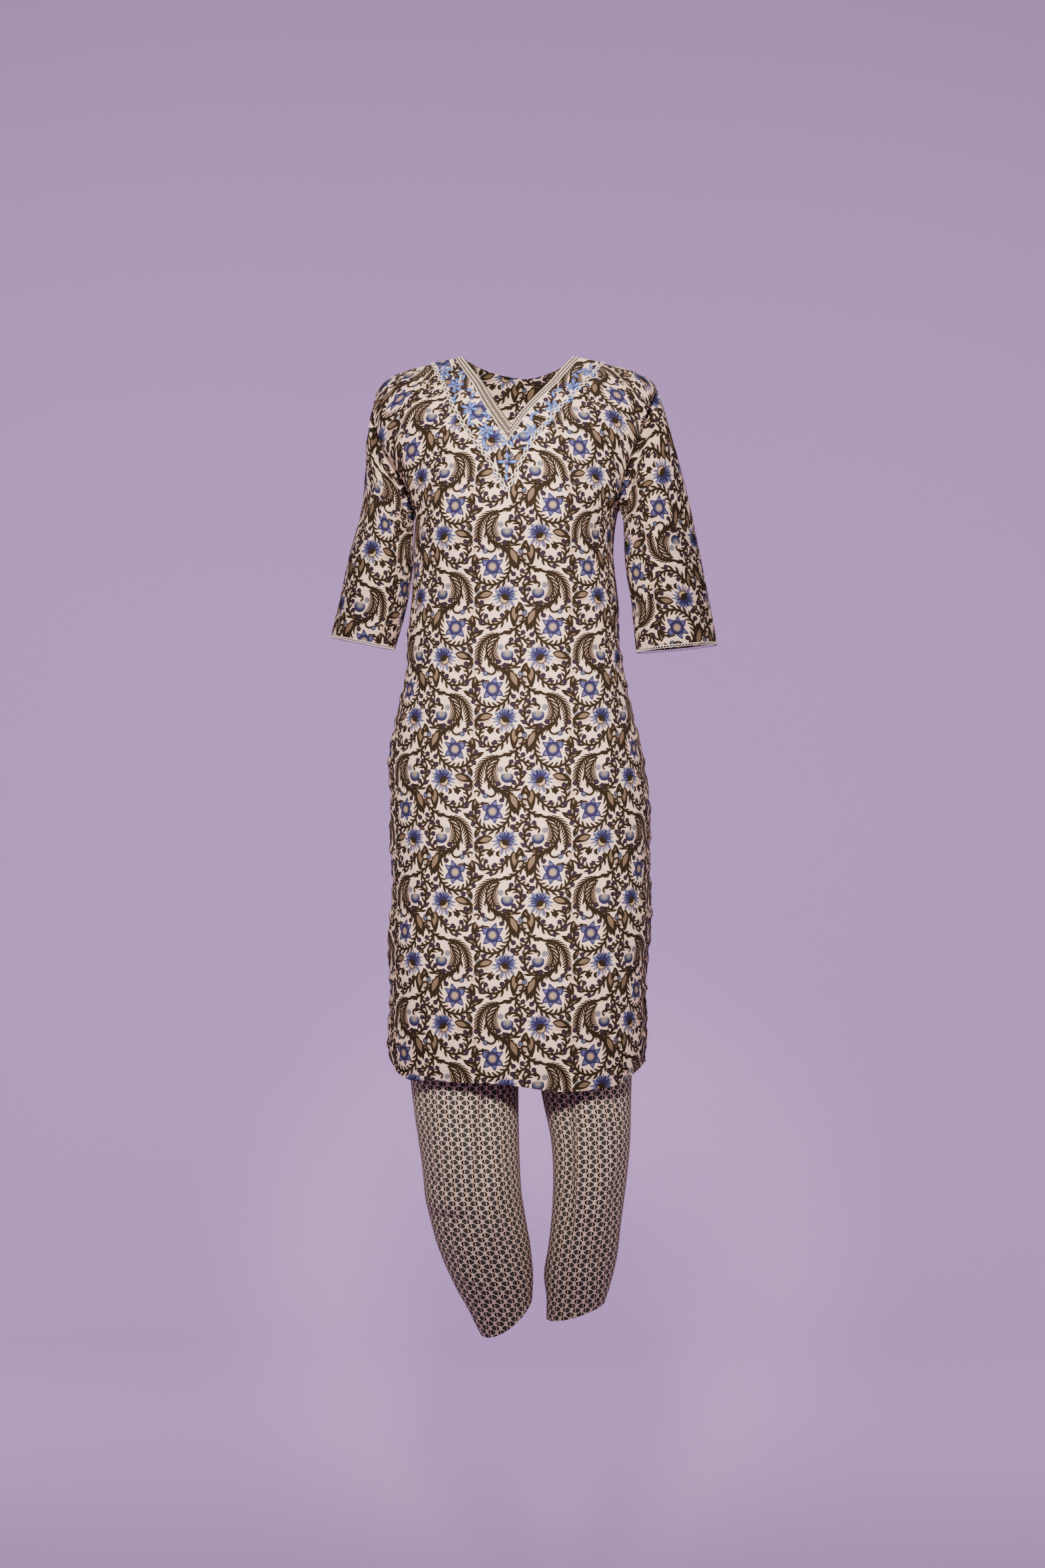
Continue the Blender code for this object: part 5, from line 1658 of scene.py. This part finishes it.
def paintBud(colour, x, y):
    # A bud with a fringed top and a dark lower rim.
    bowl = spot(x, y, (-62.0, -36.6), 8.8, 8.2)
    fringe = sine(x * 2.9) * 1.3 + y + 31.2
    cup = most(bowl, fringe * 0.25 + 1)
    colour = blend(fade(cup, 0.92, 1.08), colour, printColours["indigo"])
    glow = spot(x, y, (-62.0, -34.0), 8.2, 7.4) + most(cup, 0.95) * 4 - 3.8
    colour = blend(fade(glow, 0.55, 1.05, 0.9), colour, printColours["blueGrey"])
    return blend(fade(glow, 0.10, 0.75, 0.5), colour, printColours["cream"])


def paintTufts(colour, places):
    # Dark tufts where the basket's stem meets the thistle.
    x, y = places["basket"]
    rough = sine(x * 0.9 + 1) * sine(y * 0.8) * 0.35
    return blend(fade(nearestSpot(places, tufts) + rough, 0.95, 1.25), colour, printColours["brown"])


def paintVines(colour, places, lines):
    for name, centre, outline, spacing, slant, leafWidth, phase in vineLoops:
        angle, radius = polar(*places[name], centre)
        lines = least(lines, sprigs(angle, radius, outline, spacing, slant, leafWidth, phase)[0])
    x, y = places["flower"]
    right, up = x - stemFrom[0], y - stemFrom[1]
    along = right * stemAlong[0] + up * stemAlong[1]
    across = up * stemAlong[0] - right * stemAlong[1]
    lines = least(lines, sprigs(along, across, longStem, 8.2, 0.9, 1.05, 2.0)[0])
    for name, centre, size in hooks:
        angle, radius = polar(*places[name], centre)
        gap = below(absolute(angle - hookGap[0]), hookGap[1])
        lines = least(lines, absolute(radius - size) - 0.7 + gap * notHere)
    for name, centre, size, middle, half in arcs:
        angle, radius = polar(*places[name], centre)
        gap = above(absolute(angle - middle), half)
        lines = least(lines, absolute(radius - size) - 0.8 + gap * notHere)
    colour = blend(fade(lines, 0.6, 2.6, 0.45), colour, printColours["shade"])
    return blend(fade(lines, 0.35, 1.00), colour, printColours["brown"])


def paintLeaves(colour, places):
    # Beige inside a brown edge, darker to the tip.
    for name, centre, heading, length, width, bend in printLeaves:
        distance, across, along = leafShape(*places[name], centre, heading, length, width, bend)
        colour = blend(fade(distance, 0.2, 1.0), colour, printColours["beige"])
        edge = absolute(distance + 0.2) - smooth(along, -0.2, 1.0, 1.6) - above(across, 0) * 0.5
        colour = blend(fade(edge, 0.75, 1.35), colour, printColours["brown"])
    return colour


def paintStar(colour, x, y):
    angle, radius = polar(x, y, (0, 0))
    stops = [(place / 360, reach / starReach, 0, 0) for place, reach in starOutline]
    petal = radius - lookUp(wrapped(angle, 0, 360) * (1 / 360), stops)[0] * starReach
    colour = blend(fade(petal, 0.5, 1.1), colour, printColours["indigo"])
    colour = blend(fade(petal, -2.2, -1.3), colour, printColours["lilac"])
    colour = blend(fade(radius, 9.0, 10.2), colour, printColours["indigo"])
    colour = blend(fade(radius, 5.2, 7.0, 0.9), colour, printColours["heart"])
    seeds = smooth(sine(x * 2.0) * sine(y * 2.0), -0.6, 0.4, 0.6) + 0.4
    return blend(fade(radius, 3.4, 5.0) * seeds, colour, printColours["cream"])


def paintFlorets(colour, places, rough):
    nearest = nearestSpot(places, [(name, (x, y), floretSize, floretSize) for name, x, y in florets])
    colour = blend(fade(nearest + rough * 0.12, 0.90, 1.15), colour, printColours["floret"])
    return blend(fade(nearest, 0.05, 0.25, 0.35), colour, printColours["blueGrey"])


def kameezPrint(x, y):
    places = {name: printFrame(x, y, centre) for name, centre in printCentres.items()}
    colour = paintWashes(tint(printColours["ground"]), places)
    colour, lines = paintPlumes(colour, places)
    colour = paintBlots(colour, places, sine(x * 1.1) * sine(y * 1.1))
    colour = paintThistle(colour, *places["scroll"])
    colour = paintBud(colour, *places["scroll"])
    colour = paintTufts(colour, places)
    colour = paintVines(colour, places, lines)
    colour = paintLeaves(colour, places)
    colour = paintStar(colour, *places["flower"])
    return paintFlorets(colour, places, sine(x * 1.5) * sine(y * 1.5))


# The salwar's print, in millimetres: a grey shell in a dark chevron, facing right and left in turn.
salwarRepeat = {
    "across": 15.3, "down": 12.2, "drop": 6.1, "shift": 3.4, "shell": 3.3,
    "chevronAt": 5.75, "chevronTall": 2.8, "chevronHalf": 1.35, "chevronSlope": 0.60,
    "ground": (0.80, 0.61, 0.49), "grey": (0.050, 0.045, 0.041), "greyLight": (0.10, 0.090, 0.082),
    "chevron": (0.008, 0.004, 0.002), "mustard": (0.34, 0.19, 0.08), "line": (0.80, 0.66, 0.60),
}


def salwarPrint(x, y):
    repeat = salwarRepeat
    width, height = repeat["across"], repeat["down"]
    colour = tint(repeat["ground"])
    for facing, acrossBy, downBy in ((1, 0.0, 0.0), (-1, repeat["shift"], repeat["drop"])):
        u = wrapped(x - acrossBy, -width / 2, width / 2) * facing
        v = wrapped(y + downBy, -height / 2, height / 2)
        angle, radius = polar(u, v, (0.0, 0.0))
        lobes = radius - sine(angle * (3 * math.pi / 180) + math.pi / 2) * 0.42 - repeat["shell"]
        colour = blend(fade(absolute(lobes - 0.75), 0.10, 0.50, 0.8), colour, repeat["line"])
        colour = blend(fade(lobes, -0.15, 0.30), colour, repeat["grey"])
        marks = sine(u * 4.1 + 0.6) * sine(v * 3.7 + 0.9)
        flecks = fade(lobes, -1.4, -0.5, 0.7) * smooth(marks, 0.1, 0.6, 1.0)
        colour = blend(flecks, colour, repeat["greyLight"])
        tall = absolute(v)
        fromTip = wrapped(u + repeat["chevronAt"], -width / 2, width / 2)
        arm = absolute(fromTip - tall * repeat["chevronSlope"] + 0.2) + tall * 0.16
        chevron = most(arm - repeat["chevronHalf"], tall - repeat["chevronTall"])
        colour = blend(fade(chevron, 0.1, 0.7, 0.45), colour, repeat["mustard"])
        colour = blend(fade(chevron, -0.15, 0.35), colour, repeat["chevron"])
    return colour


# Plain weave under a print: threads in millimetres, raised and sunk in turn, with slubs.
weave = {
    "warp": 0.62, "weft": 0.70, "height": 0.00007, "slub": 0.00012, "slubScale": (260.0, 1500.0, 1.0),
    "slubColour": (0.02, 0.014, 0.010), "specular": 0.12, "tone": 0.10,
}


def printedCloth(name, printing, roughness):
    material = bpy.data.materials.new(name)
    material.use_nodes = True
    tree = material.node_tree
    Field.nodes = tree.nodes
    shader = tree.nodes["Principled BSDF"]
    shader.inputs["Roughness"].default_value = roughness
    shader.inputs["Specular IOR Level"].default_value = weave["specular"]
    uv = tree.nodes.new("ShaderNodeUVMap")
    uv.uv_map = "print"
    parts = tree.nodes.new("ShaderNodeSeparateXYZ")
    tree.links.new(uv.outputs["UV"], parts.inputs["Vector"])
    x, y = Field(parts.outputs["X"]) * 1000, Field(parts.outputs["Y"]) * 1000
    colour = printing(x, y)
    stretch = tree.nodes.new("ShaderNodeMapping")
    stretch.inputs["Scale"].default_value = weave["slubScale"]
    tree.links.new(uv.outputs["UV"], stretch.inputs["Vector"])
    slubs = tree.nodes.new("ShaderNodeTexNoise")
    slubs.inputs["Scale"].default_value = 1.0
    slubs.inputs["Detail"].default_value = 1.0
    tree.links.new(stretch.outputs["Vector"], slubs.inputs["Vector"])
    slub = Field(slubs.outputs["Fac"])
    colour = blend(smooth(slub, 0.35, 0.75, weave["tone"]), colour, weave["slubColour"])
    tree.links.new(colour.socket, shader.inputs["Base Color"])
    warp, weft = (sine(along * (2 * math.pi / weave[name])) for along, name in ((x, "warp"), (y, "weft")))
    threads = warp * weft * weave["height"]
    bump = tree.nodes.new("ShaderNodeBump")
    bump.inputs["Strength"].default_value = 1.0
    bump.inputs["Distance"].default_value = 1.0
    tree.links.new((threads + slub * weave["slub"]).socket, bump.inputs["Height"])
    tree.links.new(bump.outputs["Normal"], shader.inputs["Normal"])
    print(name, len(tree.nodes), "nodes")
    return material


def plainCloth(name, colour, roughness, specular=0.2):
    material = bpy.data.materials.new(name)
    material.use_nodes = True
    shader = material.node_tree.nodes["Principled BSDF"]
    shader.inputs["Base Color"].default_value = (*colour, 1.0)
    shader.inputs["Roughness"].default_value = roughness
    shader.inputs["Specular IOR Level"].default_value = specular
    return material


# Where the print starts on each sleeve; the right one is cut from the cloth the other way up.
sleeveMaps = {"left": (0.1185, 0.1110, -1.0, 1.0), "right": (0.0110, 0.1320, -1.0, -1.0)}


# Where the print lies on the panels, in millimetres: its size against the chart, a point of the panel
# and the point of the chart that falls there.
printPlace = {"size": 0.97, "panel": (9, -579), "chart": (-67.3, -210)}


def onKameez(x, y):
    perUnit = 1 / printPlace["size"]
    panel, chartPoint = printPlace["panel"], printPlace["chart"]
    return kameezPrint((x - panel[0]) * perUnit + chartPoint[0], (y - panel[1]) * perUnit + chartPoint[1])


kameezCloth = printedCloth("kameez_print", onKameez, 0.88)
paleBlueThread = plainCloth("pale_blue_thread", (0.090, 0.185, 0.46), 0.5, 0.4)
blueThread = plainCloth("blue_thread", (0.030, 0.052, 0.235), 0.55, 0.3)
lilacThread = plainCloth("lilac_thread", (0.20, 0.21, 0.40), 0.55, 0.3)
darkThread = plainCloth("dark_thread", (0.070, 0.046, 0.034), 0.7)
threadTree = makeThreadTree()
stitchTree = makeStitchTree()
bindingCloth = plainCloth("binding_cloth", (0.085, 0.062, 0.050), 0.85)
whiteLace = plainCloth("white_lace", (0.69, 0.60, 0.53), 0.8)
salwarCloth = printedCloth("salwar_print", salwarPrint, 0.85)

print("kameez panels")
frontPanel = makePanel("front")
backPanel = makePanel("back")
print("sleeves")
sleeves = {side: sleevePiece(side, frontPanel, backPanel) for side in ("left", "right")}
print("yoke")
for side in ("left", "right"):
    stripPiece("binding", side, bindingCloth)
    stripPiece("band", side, kameezCloth)
    makePiping(side)
    makeBraid(side)
makeBeads()
makeEmbroidery()
print("laces and stitches")
for side in ("left", "right"):
    makeSleeveLace(side, *sleeves[side])
    lowest = [points[::-1] for points in sleeves[side]]
    hemLine = edgeLine(*lowest, hemTurn["depth"], closed=True)
    stitchRow("sleeve_hem_stitches_" + side, hemLine, darkThread, on=side)
for face, panel in (("front", frontPanel), ("back", backPanel)):
    stitchRow("hem_stitches_" + face, edgeLine(*panel, hemTurn["depth"]), darkThread, on=face)
    vents = [ventLine(*panel, column) for column in (ventColumns, -1 - ventColumns)]
    for number, line in enumerate(vents):
        stitchRow("vent_stitches_" + face + str(number), line, darkThread, on=face)
print("salwar")
makeLeg("left")
makeLeg("right")
makeWaistband()


studio = {
    "floorHeight": -1.97, "halfWidth": 7.0, "frontEdge": -7.0,
    "bendStart": 3.4, "bendRadius": 2.0, "bendSteps": 24, "wallTop": 5.0,
    "paper": (0.58, 0.37, 0.72), "sky": (0.84, 0.76, 0.80), "skyStrength": 0.30,
    "camera": (0.009, -4.1, -0.5787), "viewHeight": 2.1168,
}
softboxes = (   # place, aim, power, width, height, spread in degrees, colour
    ((-0.05, -2.6, 0.6), (0.0, 0.0, -0.42), 5.0, 0.20, 1.1, 15, (1.0, 0.90, 0.82)),
    ((-2.5, -1.9, 0.5), (0.0, 0.0, -0.7), 20.5, 0.7, 1.5, 180, (1.0, 0.91, 0.84)),
    ((2.6, -1.9, 0.3), (0.0, 0.0, -0.7), 17.0, 0.7, 1.5, 180, (1.0, 0.91, 0.84)),
    ((0.0, 2.4, 1.6), (0.0, 1.0, -1.4), 31.0, 1.6, 1.6, 180, (1.0, 0.98, 1.0)),
    ((-3.0, 1.6, 0.2), (0.6, 5.4, 0.0), 71.0, 1.6, 1.6, 150, (1.0, 0.95, 0.97)),
    ((3.0, 1.6, 0.2), (-0.6, 5.4, 0.0), 65.0, 1.6, 1.6, 150, (1.0, 0.95, 0.97)),
)


def makeBackdrop():
    radius, start, low = studio["bendRadius"], studio["bendStart"], studio["floorHeight"]
    steps = studio["bendSteps"]
    profile = [(studio["frontEdge"], low), (start, low)]
    for step in range(1, steps + 1):
        angle = math.pi / 2 * step / steps
        profile.append((start + radius * math.sin(angle), low + radius * (1 - math.cos(angle))))
    profile.append((start + radius, studio["wallTop"]))
    points = [(side * studio["halfWidth"], y, z) for y, z in profile for side in (-1, 1)]
    faces = [(i, i + 1, i + 3, i + 2) for i in range(0, len(points) - 2, 2)]
    data = bpy.data.meshes.new("backdrop")
    data.from_pydata(points, [], faces)
    data.shade_smooth()
    data.materials.append(plainCloth("backdrop_paper", studio["paper"], 0.95))
    placed("backdrop", data)


def makeStudio():
    makeBackdrop()
    world = bpy.data.worlds.new("studio")
    bpy.context.scene.world = world
    world.use_nodes = True
    background = world.node_tree.nodes["Background"]
    background.inputs["Color"].default_value = (*studio["sky"], 1.0)
    background.inputs["Strength"].default_value = studio["skyStrength"]
    for place, target, power, width, height, spread, colour in softboxes:
        lamp = bpy.data.lights.new("softbox", "AREA")
        lamp.shape, lamp.size, lamp.size_y = "RECTANGLE", width, height
        lamp.energy, lamp.spread, lamp.color = power, math.radians(spread), colour
        holder = placed("softbox", lamp)
        holder.location = place
        aim = np.array(target) - np.array(place)
        tip, turn = math.atan2(math.hypot(aim[0], aim[1]), -aim[2]), math.atan2(-aim[0], aim[1])
        holder.rotation_euler = (tip, 0.0, turn)
        holder.visible_camera = False
    view = bpy.data.cameras.new("camera")
    view.lens = 36.0 * -studio["camera"][1] / studio["viewHeight"]
    camera = placed("camera", view)
    camera.location = studio["camera"]
    camera.rotation_euler = (math.radians(90.0), 0.0, 0.0)
    bpy.context.scene.camera = camera


for motif in motifs:
    bpy.data.objects.remove(motif, do_unlink=True)
makeStudio()
